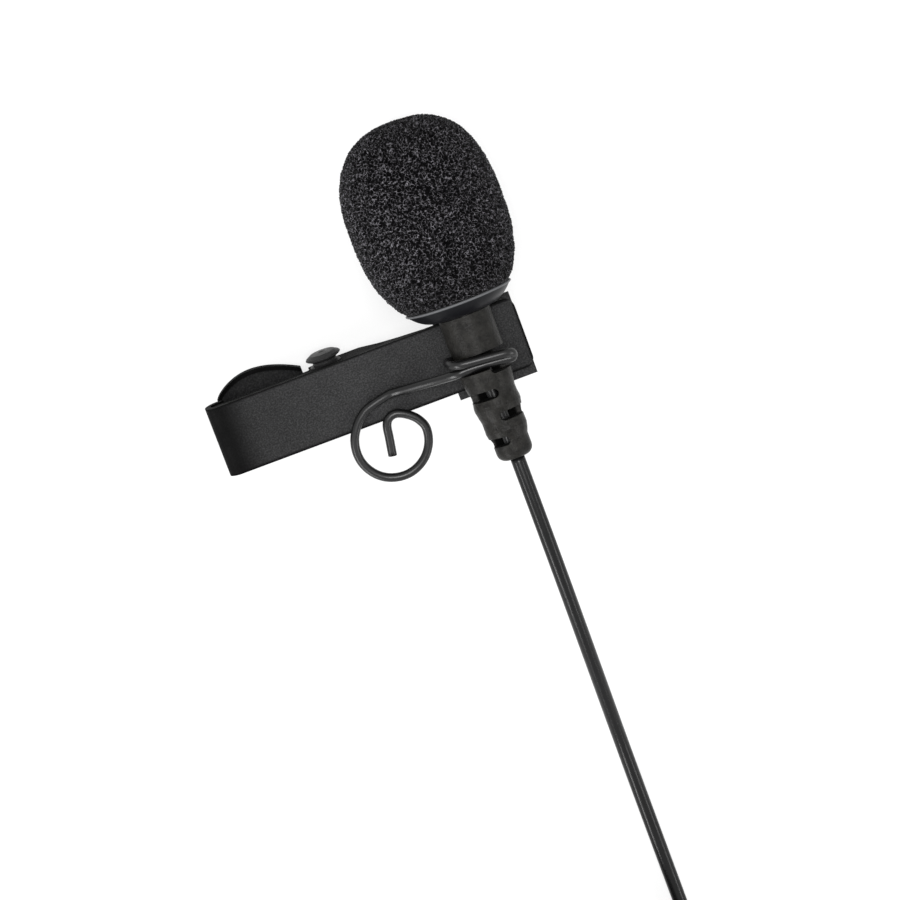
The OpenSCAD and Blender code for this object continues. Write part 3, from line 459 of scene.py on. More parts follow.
def build_finishes(context):
    """Every finish by name, made once."""
    rubber, clip, holder = settings(context, "rubber"), settings(context, "clip"), settings(context, "holder")
    plug, screen = settings(context, "plug"), settings(context, "windscreen")
    steel, black = clip.steel, (0.012, 0.012, 0.012)
    paint_coat = 700, 4800, (0.55, 0.72), (0.6, 5e-5), 0.05, 3.6
    # Label, colour, its drift, scales of mottle and grain, gloss, relief, specular, speck, metallic, amount.
    rows = {
        "clip": ("Powder paint", clip.paint, 1.5, *paint_coat),
        "bar": ("Bar paint", clip.paint, 1.5, *paint_coat),
        "lever": ("Lever paint", clip.back, 1.5, 700, 3800, (0.55, 0.72), (0.6, 5e-5), 0.04, 3.0),
        "cup": ("Cup paint", screen.cup, 1.35, 420, 5200, (0.32, 0.42), (0.1, 2e-5), 0.1, 1.2, 0, 0.5),
        "boot": ("Moulded rubber", rubber.boot, 4.6, 1300, 3000, (0.34, 0.46), (0.7, 9e-5), 0.11, 3.6, 0, 0.9),
        "jacket": ("Cord jacket", rubber.jacket, 1.4, 900, 4200, (0.24, 0.30), (0.06, 2e-5), 0.20, 1.4),
        "wire": ("Blackened wire", holder.paint, 1.4, 900, 4000, (0.29, 0.36), (0.03, 1e-5), 0.34, 1.3),
        "pin": ("Blackened steel", clip.paint, 1.5, 900, 4200, (0.34, 0.48), (0.10, 2e-5), 0.12),
        "spring": ("Spring steel", steel, 0.7, 1200, 6000, (0.22, 0.34), (0.05, 1e-5), 0.3, 1.1, 1),
        "nickel": ("Nickel plate", steel, 0.8, 900, 5000, (0.20, 0.32), (0.04, 1e-5), 0.3, 1.1, 1),
        "shell": ("Barrel paint", screen.cup, 1.3, 700, 5000, (0.30, 0.42), (0.08, 2e-5), 0.3, 1.3),
        "can": ("Drawn aluminium", steel, 0.85, 800, 5200, (0.30, 0.42), (0.06, 1e-5), 0.3, 1.1, 1),
        "cloth": ("Acoustic cloth", black, 2.5, 5000, 6500, (0.8, 0.95), (0.8, 6e-5)),
        "seal": ("Soft rubber", rubber.boot, 1.4, 900, 3600, (0.6, 0.75), (0.2, 4e-5)),
        "board": ("Solder mask", (0.02, 0.11, 0.04), 0.6, 1500, 5000, (0.25, 0.4), (0.1, 2e-5), 0.3, 1.2),
        "cores": ("Core insulation", (0.42, 0.05, 0.04), 0.7, 1500, 5000, (0.35, 0.5), (0.1, 1e-5), 0.3, 1.1),
        "tie": ("Tie band", (0.014, 0.014, 0.014), 1.6, 1200, 3000, (0.45, 0.6), (0.4, 6e-5)),
        "grip": ("Anodised grip", plug.grip, 1.3, 800, 5200, (0.28, 0.4), (0.08, 1e-5), 0.3, 1.4, 0.6),
        "gold": ("Gold plate", plug.gold, 0.85, 700, 5200, (0.14, 0.24), (0.03, 1e-5), 0.3, 1.1, 1),
        "bands": ("Insulating bands", black, 1.4, 1500, 4200, (0.35, 0.5), (0.1, 1e-5)),
    }
    finishes = {name: finish(*row) for name, row in rows.items()}
    finishes["foam"] = foam_finish(screen)
    # Painted shade at the foam's foot.
    darken(finishes["foam"], FOOT_LEFT, (-MIC_AXIS, -MIC_START, FOOT_SHADE))
    # Painted shade on the bar's left end, its left part and its edges.
    shade_bar(finishes["bar"])
    # Painted shade on the lever's rim.
    shade_lever_rim(finishes["lever"], LEVER_RIM_SHADE)
    # Painted shade in the boot's slots.
    shade_slots(finishes["boot"], SLOT_SHADE)
    # A painted highlight along the cup's rim.
    rim_highlight = reach(finishes["cup"], MIC_AXIS, MIC_START + (CUP_FOOT + CUP_HEIGHT) * MM, RIM_HIGHLIGHT)
    shade(finishes["cup"], rim_highlight, tone(screen.rim, 1), "MIX")
    return finishes


FINISHES = {}


def finish_called(name):
    """A finish by name; the first call makes them all."""
    if not FINISHES:
        FINISHES.update(build_finishes(bpy.context))
    return FINISHES[name]


def finish_node(node, name):
    """Gives a CAD node's slots a finish, and leaves its mesh alone."""
    for slot in frame["nodes"][node].material_slots:
        slot.material = finish_called(name)
    return frame["nodes"][node]


# ---- meshes


def new_piece(context, name, shape, body, nodes, finish_name):
    """A smooth mesh in the row frame that rides on a body, stands for CAD nodes and has one finish."""
    points, faces = shape
    mesh = bpy.data.meshes.new(name)
    mesh.from_pydata([tuple(p) for p in points], [], faces)
    mesh.validate()
    mesh.update()
    mesh.polygons.foreach_set("use_smooth", [True] * len(mesh.polygons))
    mesh.materials.append(finish_called(finish_name))
    piece = bpy.data.objects.new(name, mesh)
    context.collection.objects.link(piece)
    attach(piece, body)
    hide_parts(*nodes)
    return piece


def soften(piece, width):
    """Rounds a piece's sharp edges."""
    bevel = piece.modifiers.new("Edges", "BEVEL")
    bevel.width = width
    bevel.segments = 3
    bevel.limit_method = "ANGLE"
    bevel.angle_limit = math.radians(34)


def catmull(points, steps):
    """A smooth curve through the points, with so many steps between each two."""
    points = [Vector(p) for p in points]
    last = len(points) - 1
    curve = []
    for i in range(last):
        a, b, c, d = points[max(0, i - 1)], points[i], points[i + 1], points[min(last, i + 2)]
        for k in range(steps):
            t = k / steps
            square, cube = (2 * a - 5 * b + 4 * c - d) * t * t, (3 * b - a - 3 * c + d) * t * t * t
            curve.append(0.5 * (2 * b + (c - a) * t + square + cube))
    return curve + [points[last]]


def sweep(path, radii, sides, first=Vector((0, 0, 1))):
    """Points and faces of a closed tube along a path, carried without twisting."""
    count = len(path)
    headings = [(path[min(i + 1, count - 1)] - path[max(i - 1, 0)]).normalized() for i in range(count)]
    side = (first - headings[0] * first.dot(headings[0])).normalized()
    points, faces = [], []
    for i, (centre, heading, radius) in enumerate(zip(path, headings, radii)):
        side = (side - heading * side.dot(heading)).normalized()
        up = heading.cross(side)
        for k in range(sides):
            turn = 2 * math.pi * k / sides
            points.append(centre + (side * math.cos(turn) + up * math.sin(turn)) * radius)
        if i:
            faces += ring_faces(sides, (i - 1) * sides)
    faces.append(tuple(range(sides))[::-1])
    faces.append(tuple(range((count - 1) * sides, count * sides)))
    return points, faces


def ring_faces(sides, start):
    """Faces between two rings of so many points, the first of which begins at a number."""
    pairs = [(start + k, start + (k + 1) % sides) for k in range(sides)]
    return [(a, b, b + sides, a + sides) for a, b in pairs]


def round_end(path, radius, steps=4, blunt=0.05):
    """Carries a path on by a half ball, and gives the radii that close it."""
    heading = (path[-1] - path[-2]).normalized()
    turns = [math.pi / 2 * k / steps for k in range(1, steps + 1)]
    ends = [path[-1] + heading * radius * math.sin(turn) for turn in turns]
    return path + ends, [radius] * len(path) + [radius * max(blunt, math.cos(turn)) for turn in turns]


def lathe(profile, sides):
    """Points and faces of a surface turned about the microphone's axis; the profile is (radius, along)."""
    points, faces, rings = [], [], []
    for radius, along in profile:
        if radius < 1e-6:
            rings.append([len(points)] * sides)
            points.append(on_mic(0, 0, along))
            continue
        rings.append(range(len(points), len(points) + sides))
        for k in range(sides):
            turn = 2 * math.pi * k / sides
            points.append(on_mic(radius * math.cos(turn), radius * math.sin(turn), along))
    for low, high in zip(rings, rings[1:]):
        for k in range(sides):
            n = (k + 1) % sides
            # Where a ring is one point, this leaves a triangle.
            faces.append(tuple(dict.fromkeys((low[k], low[n], high[n], high[k]))))
    return points, faces


# ---- stage

# What the camera looks at, in millimetres of the design plane.
LOOK_AT = (-6.0, -8.79, 0)

# The floor's glow and the surroundings' light: only the eye and glosses see them as white.
FLOOR_GLOW, WORLD_FILL = 0.74, 0.42
FLOOR_DROP = 0.00002

# Each lamp's name, its place from the point looked at, its width, its height and its power.
LAMPS = (
    ("Key", (0.0, 0.18, 0.74), 0.36, 0.36, 4.4),
    ("Left strip", (-0.53, -0.30, 0.363), 0.14, 0.80, 4.4),
    ("Right strip", (0.53, -0.30, 0.363), 0.14, 0.80, 2.0),
)


def aim(thing, target, up):
    """Turns a camera or lamp so that it looks at a point, with its top towards up."""
    back = (thing.location - target).normalized()
    right = up.cross(back).normalized()
    turned = Matrix((right, back.cross(right), back)).transposed().to_4x4()
    thing.matrix_world = Matrix.Translation(thing.location) @ turned


def seen_rays(tree):
    """One for the rays that the eye, a gloss or a clear body sends out."""
    path = add_node(tree, "LightPath").outputs
    glossy = reckon(tree, "MAXIMUM", path["Is Camera Ray"], path["Is Glossy Ray"])
    return reckon(tree, "MAXIMUM", glossy, path["Is Transmission Ray"])


class LAPELMIC_OT_stage(Operator):
    """Sets up the camera, the floor, the lamps and the white surroundings"""

    bl_idname = "lapel_mic.stage"
    bl_label = "Stage"

    def execute(self, context):
        look = settings(context, "stage")
        scene = context.scene
        scene.view_settings.view_transform = "Standard"
        target = at(*LOOK_AT)
        self.add_camera(scene, look, target)
        self.add_floor(scene, look)
        self.add_lamps(scene, target)
        self.add_world(scene)
        return {"FINISHED"}

    def add_camera(self, scene, look, target):
        """The camera looks down at the target, leaning and rolled."""
        tilt, roll = look.camera_tilt, look.camera_roll
        up = Vector((0, math.cos(tilt), -math.sin(tilt)))
        data = bpy.data.cameras.new("Camera")
        data.sensor_width = 36.0
        data.lens = data.sensor_width * look.camera_distance / look.picture_width
        data.clip_start, data.clip_end = 0.01, 20.0
        camera = bpy.data.objects.new("Camera", data)
        camera.location = target + Vector((0, math.sin(tilt), math.cos(tilt))) * look.camera_distance
        scene.collection.objects.link(camera)
        aim(camera, target, up * math.cos(roll) + Vector((1, 0, 0)) * math.sin(roll))
        scene.camera = camera

    def add_floor(self, scene, look):
        """A pale floor just under the table's height."""
        half = look.floor_size / 2
        corners = [(-half, -half, 0), (half, -half, 0), (half, half, 0), (-half, half, 0)]
        mesh = bpy.data.meshes.new("Floor")
        mesh.from_pydata(corners, [], [(0, 1, 2, 3)])
        floor = bpy.data.objects.new("Floor", mesh)
        floor.location.z = -FLOOR_DROP
        scene.collection.objects.link(floor)
        material, tree, shader = new_material("Pale floor", roughness=0.9, specular=0.1)
        shader.inputs["Base Color"].default_value = tone(look.floor_colour, 1)
        shader.inputs["Emission Color"].default_value = (1, 1, 1, 1)
        glow = reckon(tree, "MULTIPLY", seen_rays(tree), FLOOR_GLOW)
        tree.links.new(glow, shader.inputs["Emission Strength"])
        mesh.materials.append(material)

    def add_lamps(self, scene, target):
        """Soft lamps that look at the target."""
        for name, place, width, height, power in LAMPS:
            data = bpy.data.lights.new(name, "AREA")
            data.shape = "ELLIPSE"
            data.size, data.size_y = width, height
            data.energy = power
            lamp = bpy.data.objects.new(name, data)
            lamp.location = target + Vector(place)
            scene.collection.objects.link(lamp)
            aim(lamp, target, Vector((0, 1, 0)))

    def add_world(self, scene):
        """Surroundings that are white to the eye and dimmer as a light."""
        world = bpy.data.worlds.new("White surroundings")
        world.use_nodes = True
        tree = world.node_tree
        background = tree.nodes["Background"]
        background.inputs["Color"].default_value = (1, 1, 1, 1)
        strength = between(tree, seen_rays(tree), 0.0, 1.0, WORLD_FILL, 1.0)
        tree.links.new(strength, background.inputs["Strength"])
        scene.world = world


# ---- cord

# Where the table lies, and how far the cord and the plug stay clear of it, in millimetres.
TABLE, CLEAR = -HOME.z / MM, 0.02

# The coil, in millimetres: its turns' pitch, its outer turns' radius and its middle's y.
COIL_PITCH, COIL_RADIUS, COIL_MIDDLE = 1.95, 13.2, -75
COIL_LAYERS, COIL_LAYER_TURNS, TURN_STEPS = 4, 5, 48

# The band round the coil: its sheet, the radius of its corners, its play on the cord, and its two ends.
TIE_THICKNESS, TIE_WIDTH, TIE_CORNER, TIE_PLAY = 0.6, 4.0, 0.8, 0.05
TIE_START, TIE_END, CORNER_STEPS = -5.6, -9.4, 6

# The plug's grip, and how far the boot reaches from the microphone's origin, in millimetres.
GRIP_RADIUS, BOOT_LENGTH = 2.8, 10.85


def coil_swing(turn):
    """How many pitches the coil's radius has drawn in: it swings in and out once a layer."""
    share = turn % (2 * COIL_LAYER_TURNS)
    return share if share < COIL_LAYER_TURNS else 2 * COIL_LAYER_TURNS - share


def coil_climb(turn):
    """How many pitches the coil has climbed: it climbs where its swing turns back."""
    layer = round(turn / COIL_LAYER_TURNS)
    near = turn - layer * COIL_LAYER_TURNS
    if layer < 1:
        return 0
    if layer > COIL_LAYERS - 1:
        return COIL_LAYERS - 1
    return layer if near > 0.25 else layer - 1 if near < -0.25 else layer - 0.5 + 2 * near


def coil_base(diameter):
    """Height of the coil's lowest turns, which lie on the band."""
    return TABLE + diameter / 2 + CLEAR + TIE_THICKNESS + TIE_PLAY


def cord_route(diameter):
    """The cord's whole line, in metres: down to the table, round the coil and into the plug."""
    on_table, base = TABLE + diameter / 2 + CLEAR, coil_base(diameter)
    lead = [on_mic(0, 0, -BOOT_LENGTH), on_mic(0, 0, -BOOT_LENGTH - 3)]
    lead += [
        at(0, y, z)
        for y, z in (
            (-17.5, 4.95), (-21, 4.85), (-25, 4.05), (-30, 2.3), (-35, 0.2), (-40, -2), (-45, -4.1),
            (-49, -5.2), (-53, on_table), (-57, on_table), (-61, on_table), (-65, on_table + 0.08),
            (-69, base - 0.12), (-72, base), (COIL_MIDDLE + diameter, base),
        )
    ]
    coil = []
    for i in range(COIL_LAYERS * COIL_LAYER_TURNS * TURN_STEPS + 1):
        turn = i / TURN_STEPS
        radius = COIL_RADIUS - COIL_PITCH * coil_swing(turn)
        swept = -2 * math.pi * turn
        x, y = -COIL_RADIUS + radius * math.cos(swept), COIL_MIDDLE + radius * math.sin(swept)
        coil.append(at(x, y, base + COIL_PITCH * coil_climb(turn)))
    leave = coil[-1] + Vector((0, -diameter, 0)) * MM
    axis = TABLE + GRIP_RADIUS + CLEAR
    low = (leave - HOME) / MM
    tail = [leave, leave + Vector((0, -2.5, -0.25)) * MM, leave + Vector((0, -5.5, -1.2)) * MM]
    tail += [at(low.x, low.y - run, axis + rise) for run, rise in ((9, 1.2), (12, 0.25), (14.5, 0), (20, 0))]
    return catmull(lead, 4)[:-1] + [lead[-1]] + coil + catmull(tail, 4)


def tie_line(diameter, thick):
    """The band's line round the coil's far side, and over its own start, from the coil's middle."""
    base, play = coil_base(diameter), TIE_PLAY + thick / 2
    left = -(COIL_RADIUS + diameter + play)
    right = -(COIL_RADIUS - COIL_LAYER_TURNS * COIL_PITCH - diameter - play)
    low = base - diameter / 2 - play
    high = base + (COIL_LAYERS - 1) * COIL_PITCH + diameter / 2 + play
    lap = high + thick + CLEAR
    line = [(TIE_START, high)]
    ahead = [(-1, 0), (0, -1), (1, 0), (0, 1), (-1, 0)]
    corners = ((left, high), (left, low), (right, low), (right, lap))
    for (x, z), (ix, iz), (ox, oz) in zip(corners, ahead, ahead[1:]):
        for step in range(CORNER_STEPS + 1):
            turn = math.pi / 2 / CORNER_STEPS * step
            onward, short = (1 - math.cos(turn)) * TIE_CORNER, (1 - math.sin(turn)) * TIE_CORNER
            line.append((x + ox * onward - ix * short, z + oz * onward - iz * short))
    return line + [(TIE_END, lap)]


def tie_band(diameter):
    """Points and faces of the flat band that holds the coil's far side."""
    thick = TIE_THICKNESS - TIE_PLAY
    line = tie_line(diameter, thick)
    last = len(line) - 1
    points, faces = [], []
    for i, (x, z) in enumerate(line):
        (ax, az), (bx, bz) = line[max(i - 1, 0)], line[min(i + 1, last)]
        run = math.hypot(bx - ax, bz - az)
        out_x, out_z = -(bz - az) / run * thick, (bx - ax) / run * thick
        for out, across in ((0.5, 0.5), (0.5, -0.5), (-0.5, -0.5), (-0.5, 0.5)):
            y = COIL_MIDDLE + TIE_WIDTH * across
            points.append(at(x - COIL_RADIUS + out_x * out, y, z + out_z * out))
        if i:
            faces += ring_faces(4, 4 * i - 4)
    faces += [(3, 2, 1, 0), tuple(range(4 * last, 4 * last + 4))]
    return points, faces


class LAPELMIC_OT_cord(Operator):
    """Lays the cord from the boot to its plug as one tube, and ties its coil"""

    bl_idname = "lapel_mic.cord"
    bl_label = "Cord"

    def execute(self, context):
        look = settings(context, "rubber")
        path = cord_route(look.cord_diameter / MM)
        tube = sweep(path, [look.cord_diameter / 2] * len(path), 14)
        nodes = ("cord_lead", "cord_coil", "cord_tail")
        cord = new_piece(context, "cord", tube, "clip", nodes, "jacket")
        band = tie_band(look.cord_diameter / MM)
        tie = new_piece(context, "tie_band", band, "clip", ("cord_tie",), "tie")
        soften(tie, look.edge)
        return {"FINISHED"}


# ---- windscreen

# How square the foam's curve is above and below its widest place.
UPPER_POWER, LOWER_POWER = 2.6, 2.3

# In millimetres: the run over which the foam leans, its shoulder's height above its widest place and
# its reach, the foam's room on the cup, and its foot's radius.
LEAN_RUN, SHOULDER_UP, SHOULDER_REACH = 7.0, 5.0, 3.2
FOAM_ROOM, FOAM_FOOT = 0.05, 3.0

# How often the foam's curve is sampled below and above its widest place, and the angle to start at.
LOWER_SAMPLES, UPPER_SAMPLES, UPPER_START = 400, 700, 0.004

# The pores, in their own widths: how fast and how far their cells wander, and their threads' width.
# The seed keeps the wander the same in every run.
WANDER_SCALE, WANDER, THREAD, PORE_SEED = 0.7, 0.55, 0.42, 3

# How ragged the threads are, how much of the height is thread, ragged thread and plain raggedness,
# and the height that lies on the skin.
RAGGED_SCALE, THREAD_SHARE, RAGGED_SHARE, PLAIN_SHARE, SKIN_HEIGHT = 2.3, 0.75, 0.25, 0.12, 0.62

# Broad unevenness in metres, how far up the pores open, in millimetres, and the least they do.
UNEVEN_DEPTH, UNEVEN_WIDTH, OPENING, LEAST_OPEN = 0.00010, 0.0018, 0.5, 0.15

# The cup: the points round it, how flat its rolled rim is, and how far its corners are cut, in millimetres.
CUP_SIDES, RIM_FLAT, CORNER, SMALL_CORNER, FOOT_CORNER = 160, 0.6, 0.1, 0.08, 0.06


def clamp(value, low=0.0):
    """A value held between a low one and one."""
    return min(1.0, max(low, value))


def bowl(radius, rim, foot, rise):
    """Height of the cup's wall at a radius."""
    return foot + rise * max(0.0, (radius - CUP_NECK) / (rim - CUP_NECK)) ** CUP_CURVE


class LAPELMIC_OT_windscreen(Operator):
    """Grows the foam with its open pores, and turns the cup that holds it"""

    bl_idname = "lapel_mic.windscreen"
    bl_label = "Windscreen"

    def execute(self, context):
        look = settings(context, "windscreen")
        self.grow_foam(context, look)
        self.turn_cup(context)
        return {"FINISHED"}

    def half_width(self, look, along):
        """Radius of the foam at a height."""
        upper = along > look.widest / MM
        reach, power = (look.rise, UPPER_POWER) if upper else (look.fall, LOWER_POWER)
        share = min(1.0, abs(along - look.widest / MM) / (reach / MM))
        return look.radius / MM * (1 - share**power) ** (1 / power)

    def skin_line(self, look, edge):
        """The foam's profile from the cup to its top, in rings spread evenly along it."""
        widest, top = look.widest / MM, (look.widest + look.rise) / MM
        upper = widest + (top - widest) * np.sin(np.linspace(UPPER_START, math.pi / 2, UPPER_SAMPLES))
        fine = np.concatenate([np.linspace(edge, widest, LOWER_SAMPLES), upper])
        widths = np.array([self.half_width(look, s) for s in fine])
        widths[-1] = 0.0
        run = np.concatenate([[0], np.cumsum(np.hypot(np.diff(fine), np.diff(widths)))])
        steps = np.linspace(0, run[-1], look.rings)
        skin = list(zip(np.interp(steps, run, widths), np.interp(steps, run, fine)))
        return skin[:-1] + [(0.0, top)]

    def grow_foam(self, context, look):
        """The foam: a bore that fits over the cup's collar, and a skin full of pores."""
        edge = CUP_FOOT + CUP_HEIGHT + FOAM_ROOM
        collar_top = CUP_FOOT + COLLAR_HEIGHT + FOAM_ROOM
        inner = [(0.0, BORE_END), (BORE_RADIUS, BORE_END), (BORE_RADIUS, collar_top)]
        inner += [(COLLAR_BORE + COLLAR_WALL + FOAM_ROOM, collar_top)]
        rim, floor, rise = CUP_RIM - CUP_WALL, CUP_FOOT + CUP_WALL, CUP_HEIGHT - CUP_WALL
        inner += [(r, bowl(r, rim, floor, rise) + FOAM_ROOM) for r in np.linspace(FOAM_FOOT, rim, 8)]
        points, faces = lathe(inner + self.skin_line(look, edge), look.sides)
        first = 1 + (len(inner) - 1) * look.sides
        points = points[:first] + [self.push(look, p, edge) for p in points[first:]]
        pores = self.open_pores(look, points, first, edge)
        shape = points, [f[::-1] for f in faces]
        foam = new_piece(context, "foam_windscreen", shape, "screen", ("windscreen",), "foam")
        foam.data.attributes.new("pore", "FLOAT", "POINT").data.foreach_set("value", pores)

    def push(self, look, point, edge):
        """A point of the soft skin, pushed out of round the way a foam sits on its cup."""
        across = (point - MIC_ORIGIN).dot(MIC_SIDE) / look.radius
        along = (point - MIC_ORIGIN).dot(MIC_AXIS) / MM
        rise = clamp((along - edge) / LEAN_RUN)
        above = along - look.widest / MM - SHOULDER_UP
        near = math.exp(-((above / SHOULDER_REACH) ** 2)) * max(0.0, -across) ** 2
        return point - MIC_SIDE * (look.lean * rise * rise * (3 - 2 * rise) + look.shoulder * near)

    def open_pores(self, look, points, first, edge):
        """Sinks each point of the skin into the pore it lies in, and returns how near a thread it is."""
        noise.seed_set(PORE_SEED)
        centre = on_mic(0, 0, look.widest / MM)
        values = [1.0] * len(points)
        for i in range(first, len(points)):
            point = points[i]
            place = point / look.pore
            place = place + noise.noise_vector(place * WANDER_SCALE) * WANDER
            gaps = noise.voronoi(place)[0]
            thread = 1.0 - min(1.0, (gaps[1] - gaps[0]) / THREAD)
            ragged = 0.5 + 0.5 * noise.noise(place * RAGGED_SCALE)
            height = THREAD_SHARE * thread + RAGGED_SHARE * ragged * thread + PLAIN_SHARE * ragged
            along = (point - MIC_ORIGIN).dot(MIC_AXIS) / MM
            fade = clamp((along - edge) / OPENING, LEAST_OPEN)
            sway = UNEVEN_DEPTH * noise.noise(point / UNEVEN_WIDTH)
            sunk = look.pore_depth * (SKIN_HEIGHT - height) + abs(sway)
            points[i] = point - (point - centre).normalized() * fade * sunk
            values[i] = clamp(height)
        return values

    def turn_cup(self, context):
        """The cup with its rolled rim and its collar."""
        top, floor, collar_top = CUP_FOOT + CUP_HEIGHT, CUP_FOOT + CUP_WALL, CUP_FOOT + COLLAR_HEIGHT
        rim, collar, lip = CUP_RIM - CUP_WALL, COLLAR_BORE + COLLAR_WALL, CUP_WALL / 2
        rise = CUP_HEIGHT - CUP_WALL - FOAM_ROOM
        radii = np.linspace(CUP_NECK, CUP_RIM - SMALL_CORNER, 22)
        outside = [(r, bowl(r, CUP_RIM, CUP_FOOT, CUP_HEIGHT)) for r in radii]
        edge = [
            (CUP_RIM - lip + lip * math.cos(t), top - lip * RIM_FLAT + lip * RIM_FLAT * math.sin(t))
            for t in np.linspace(-0.9, math.pi, 10)
        ]
        inside = [(r, bowl(r, rim, floor, rise)) for r in np.linspace(rim - CORNER, collar + CORNER, 14)]
        neck = [
            (collar, floor + CORNER), (collar, collar_top - SMALL_CORNER), (collar - CORNER, collar_top),
            (COLLAR_BORE + CORNER, collar_top), (COLLAR_BORE, collar_top - CORNER),
            (COLLAR_BORE, CUP_FOOT + FOOT_CORNER), (COLLAR_BORE + FOOT_CORNER, CUP_FOOT),
        ]
        profile = outside + edge + inside + neck
        points, faces = lathe(profile + [profile[0]], CUP_SIDES)
        count = len(points) - CUP_SIDES
        shape = points[:count], [tuple(v % count for v in f) for f in faces]
        new_piece(context, "windscreen_dish", shape, "screen", ("windscreen_cup",), "cup")


# ---- wire holder

# Heights in millimetres: the microphone's axis above the bar's face, the groove's floor above the axis,
# and the wire's room on that floor, in front of the sleeve and round it.
AXIS_HEIGHT, GROOVE_RADIUS, FRONT_ROOM, GROOVE_ROOM = 3.13048, 1.4, 0.86, 0.08

# The open ring: its middle, how much taller than wide it is, and its course as degrees and shares of
# its radius.
RING_X, RING_Y, RING_TALL = -11.12, -5.7, 1.02
RING_COURSE = (
    (104, 1.1), (119, 1.06), (135, 1.025), (157, 1.005), (180, 1), (202, 1), (225, 1), (247, 1), (270, 1),
    (292, 1), (315, 1), (338, 1), (360, 1), (376, 0.945), (391, 0.874), (410, 0.797), (425, 0.731), (438, 0.61),
)


def holder_route(look):
    """The wire's line: out of its hole, twice round the sleeve, and down into the open ring."""
    radius = look.diameter / MM / 2
    seat = AXIS_HEIGHT + GROOVE_RADIUS + radius
    front, middle, low = seat + FRONT_ROOM, seat + GROOVE_ROOM, radius + 0.1
    ring = look.ring_radius / MM
    route = [
        (-0.7, -0.75, -0.55), (-0.7, -0.75, 0.1), (-1, -0.73, 0.68), (-1.9, -0.62, 0.95), (-2.65, -0.1, 1.5),
        (-3.1, 0.25, 2.4), (-3.2, 0.42, 3.5), (-3.14, 0.43, 4.6), (-2.7, 0.36, 5.42),
        (-1.9, 0.27, front - 0.03), (0, 0.08, front), (1.4, -0.06, front), (2.45, -0.18, front - 0.06),
        (3, -0.36, front - 0.3), (3.12, -0.66, front - 0.62), (2.95, -0.95, middle),
        (2.45, -0.93, middle - 0.02), (1.7, -0.83, middle), (0.8, -0.74, middle), (-0.6, -0.64, middle),
        (-1.8, -0.62, middle - 0.04), (-3, -0.7, middle - 0.25), (-5, -0.88, 3.4), (-7.3, -1, 1.95),
        (-8.8, -1.08, 1), (-9.9, -1.16, low + 0.06),
    ]
    for degrees, share in RING_COURSE:
        turn = math.radians(degrees)
        x, y = ring * share * math.cos(turn), ring * share * math.sin(turn) * RING_TALL
        route.append((RING_X + x, RING_Y + y, low))
    route += [(-11.04, -4.1, low), (-11.22, -5.2, low), (-11.4, -6.25, low), (-11.56, -7.2, low)]
    return catmull([at(*p) for p in route], 8)


class LAPELMIC_OT_holder(Operator):
    """Bends the wire that holds the microphone and the cord"""

    bl_idname = "lapel_mic.holder"
    bl_label = "Wire holder"

    def execute(self, context):
        look = settings(context, "holder")
        radius = look.diameter / 2
        path = holder_route(look)
        path[-1] = path[-1] + (path[-2] - path[-1]).normalized() * radius
        path, radii = round_end(path, radius)
        tube = sweep(path, radii, 18, Vector((0, 1, 0)))
        new_piece(context, "holder_wire", tube, "clip", ("wire_holder",), "wire")
        return {"FINISHED"}


# ---- boot


class LAPELMIC_OT_boot(Operator):
    """Finishes the moulded sleeve and strain relief"""

    bl_idname = "lapel_mic.boot"
    bl_label = "Boot"

    def execute(self, context):
        soften(finish_node("boot", "boot"), settings(context, "rubber").edge)
        finish_node("cable_end", "jacket")
        return {"FINISHED"}


# ---- clip


class LAPELMIC_OT_clip(Operator):
    """Finishes the sheet parts of the clip and its pin"""

    bl_idname = "lapel_mic.clip"
    bl_label = "Tie clip"

    def execute(self, context):
        for node, name in (
            ("front_bar", "bar"), ("pivot_bracket", "clip"), ("grip_plate", "clip"),
            ("thumb_lever", "lever"), ("jaw_arm", "lever"), ("pivot_pin", "pin"),
        ):
            soften(finish_node(node, name), settings(context, "clip").edge)
        return {"FINISHED"}


# The pin's distance from the microphone's axis and below the bar's face, and the spring's curls on it.
PIN_AT, PIN_DEPTH = 14.6, 2.75
CURL_RADIUS, CURL_TURNS, CURL_PITCH, CURL_STEPS = 1.1, 4.5, 0.82, 8


def spring_route():
    """The spring's line: the leg on the jaw's tail, the curls round the pin, and the leg on the bracket."""
    half = CURL_TURNS * CURL_PITCH / 2
    route = [(-PIN_AT - 3.3, -half, -3.26), (-PIN_AT - 2.1, -half, -3.3), (-PIN_AT - 1, -half, -3.63)]
    for i in range(round(CURL_TURNS * CURL_STEPS) + 1):
        turn = math.radians(270 + 360 / CURL_STEPS * i)
        x, z = -PIN_AT + CURL_RADIUS * math.cos(turn), -PIN_DEPTH + CURL_RADIUS * math.sin(turn)
        route.append((x, (i / CURL_STEPS / CURL_TURNS - 0.5) * 2 * half, z))
    route += [(-PIN_AT - 1, half, -1.4), (-PIN_AT - 1.9, half, -1.19)]
    return catmull([at(*p) for p in route], 5)


class LAPELMIC_OT_spring(Operator):
    """Winds the return spring round the pin"""

    bl_idname = "lapel_mic.spring"
    bl_label = "Return spring"

    def execute(self, context):
        path = spring_route()
        tube = sweep(path, [settings(context, "clip").spring_wire / 2] * len(path), 14, Vector((0, 1, 0)))
        new_piece(context, "spring_coil", tube, "clip", ("return_spring",), "spring")
        return {"FINISHED"}


# ---- capsule and plug


class LAPELMIC_OT_capsule(Operator):
    """Finishes what the windscreen and the sleeve hide"""

    bl_idname = "lapel_mic.capsule"
    bl_label = "Capsule"

    def execute(self, context):
        for node, name in (
            ("capsule_grille", "nickel"), ("acoustic_screen", "cloth"), ("mic_shell", "shell"),
            ("electret_capsule", "can"), ("capsule_gasket", "seal"), ("preamp_board", "board"),
            ("core_wires", "cores"), ("cable_crimp", "nickel"),
        ):
            finish_node(node, name)
        return {"FINISHED"}


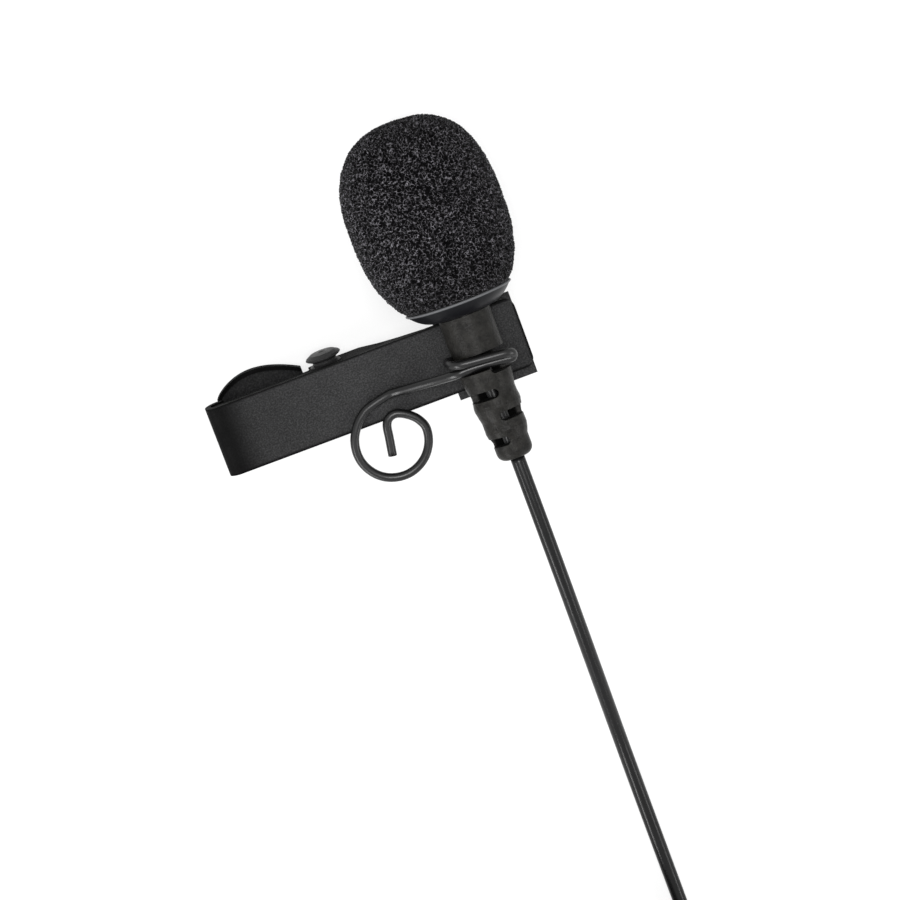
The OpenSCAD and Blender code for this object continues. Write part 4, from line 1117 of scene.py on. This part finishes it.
class LAPELMIC_OT_plug(Operator):
    """Finishes the headset plug"""

    bl_idname = "lapel_mic.plug"
    bl_label = "Headset plug"

    def execute(self, context):
        for node, name, edge in (
            ("plug_relief", "seal", 0.00012), ("plug_grip", "grip", 0.00010),
            ("jack_sleeve", "gold", 0.00003), ("jack_rings", "gold", 0.00003),
            ("jack_tip", "gold", 0.00005), ("jack_insulator", "bands", 0.00002),
        ):
            soften(finish_node(node, name), edge)
        return {"FINISHED"}


# ---- panel and registration


STEPS = (
    LAPELMIC_OT_stage, LAPELMIC_OT_cord, LAPELMIC_OT_windscreen, LAPELMIC_OT_holder, LAPELMIC_OT_boot,
    LAPELMIC_OT_clip, LAPELMIC_OT_spring, LAPELMIC_OT_capsule, LAPELMIC_OT_plug,
)


class LAPELMIC_PT_panel(Panel):
    """Lists the pieces of the microphone"""

    bl_idname = "LAPELMIC_PT_panel"
    bl_label = "Lapel Microphone"
    bl_space_type = "VIEW_3D"
    bl_region_type = "UI"
    bl_category = "Lapel Mic"

    def draw(self, context):
        for step in STEPS:
            self.layout.operator(step.bl_idname)
        for name in SETTINGS:
            box = self.layout.box()
            box.label(text=name.capitalize())
            look = settings(context, name)
            for key in look.bl_rna.properties.keys():
                if key not in ("rna_type", "name"):
                    box.prop(look, key)


CLASSES = tuple(SETTINGS.values()) + STEPS + (LAPELMIC_PT_panel,)


def register():
    """Registers the classes, and hangs the settings on the scene."""
    for cls in CLASSES:
        bpy.utils.register_class(cls)
    for name, cls in SETTINGS.items():
        setattr(bpy.types.Scene, "lapel_mic_" + name, PointerProperty(type=cls))


def unregister():
    """Takes off what register put on."""
    for name in SETTINGS:
        delattr(bpy.types.Scene, "lapel_mic_" + name)
    for cls in reversed(CLASSES):
        bpy.utils.unregister_class(cls)


def main():
    """Builds the whole microphone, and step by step."""
    register()
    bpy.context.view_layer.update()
    for step in STEPS:
        group, name = step.bl_idname.split(".")
        getattr(getattr(bpy.ops, group), name)()


if __name__ == "__main__":
    main()
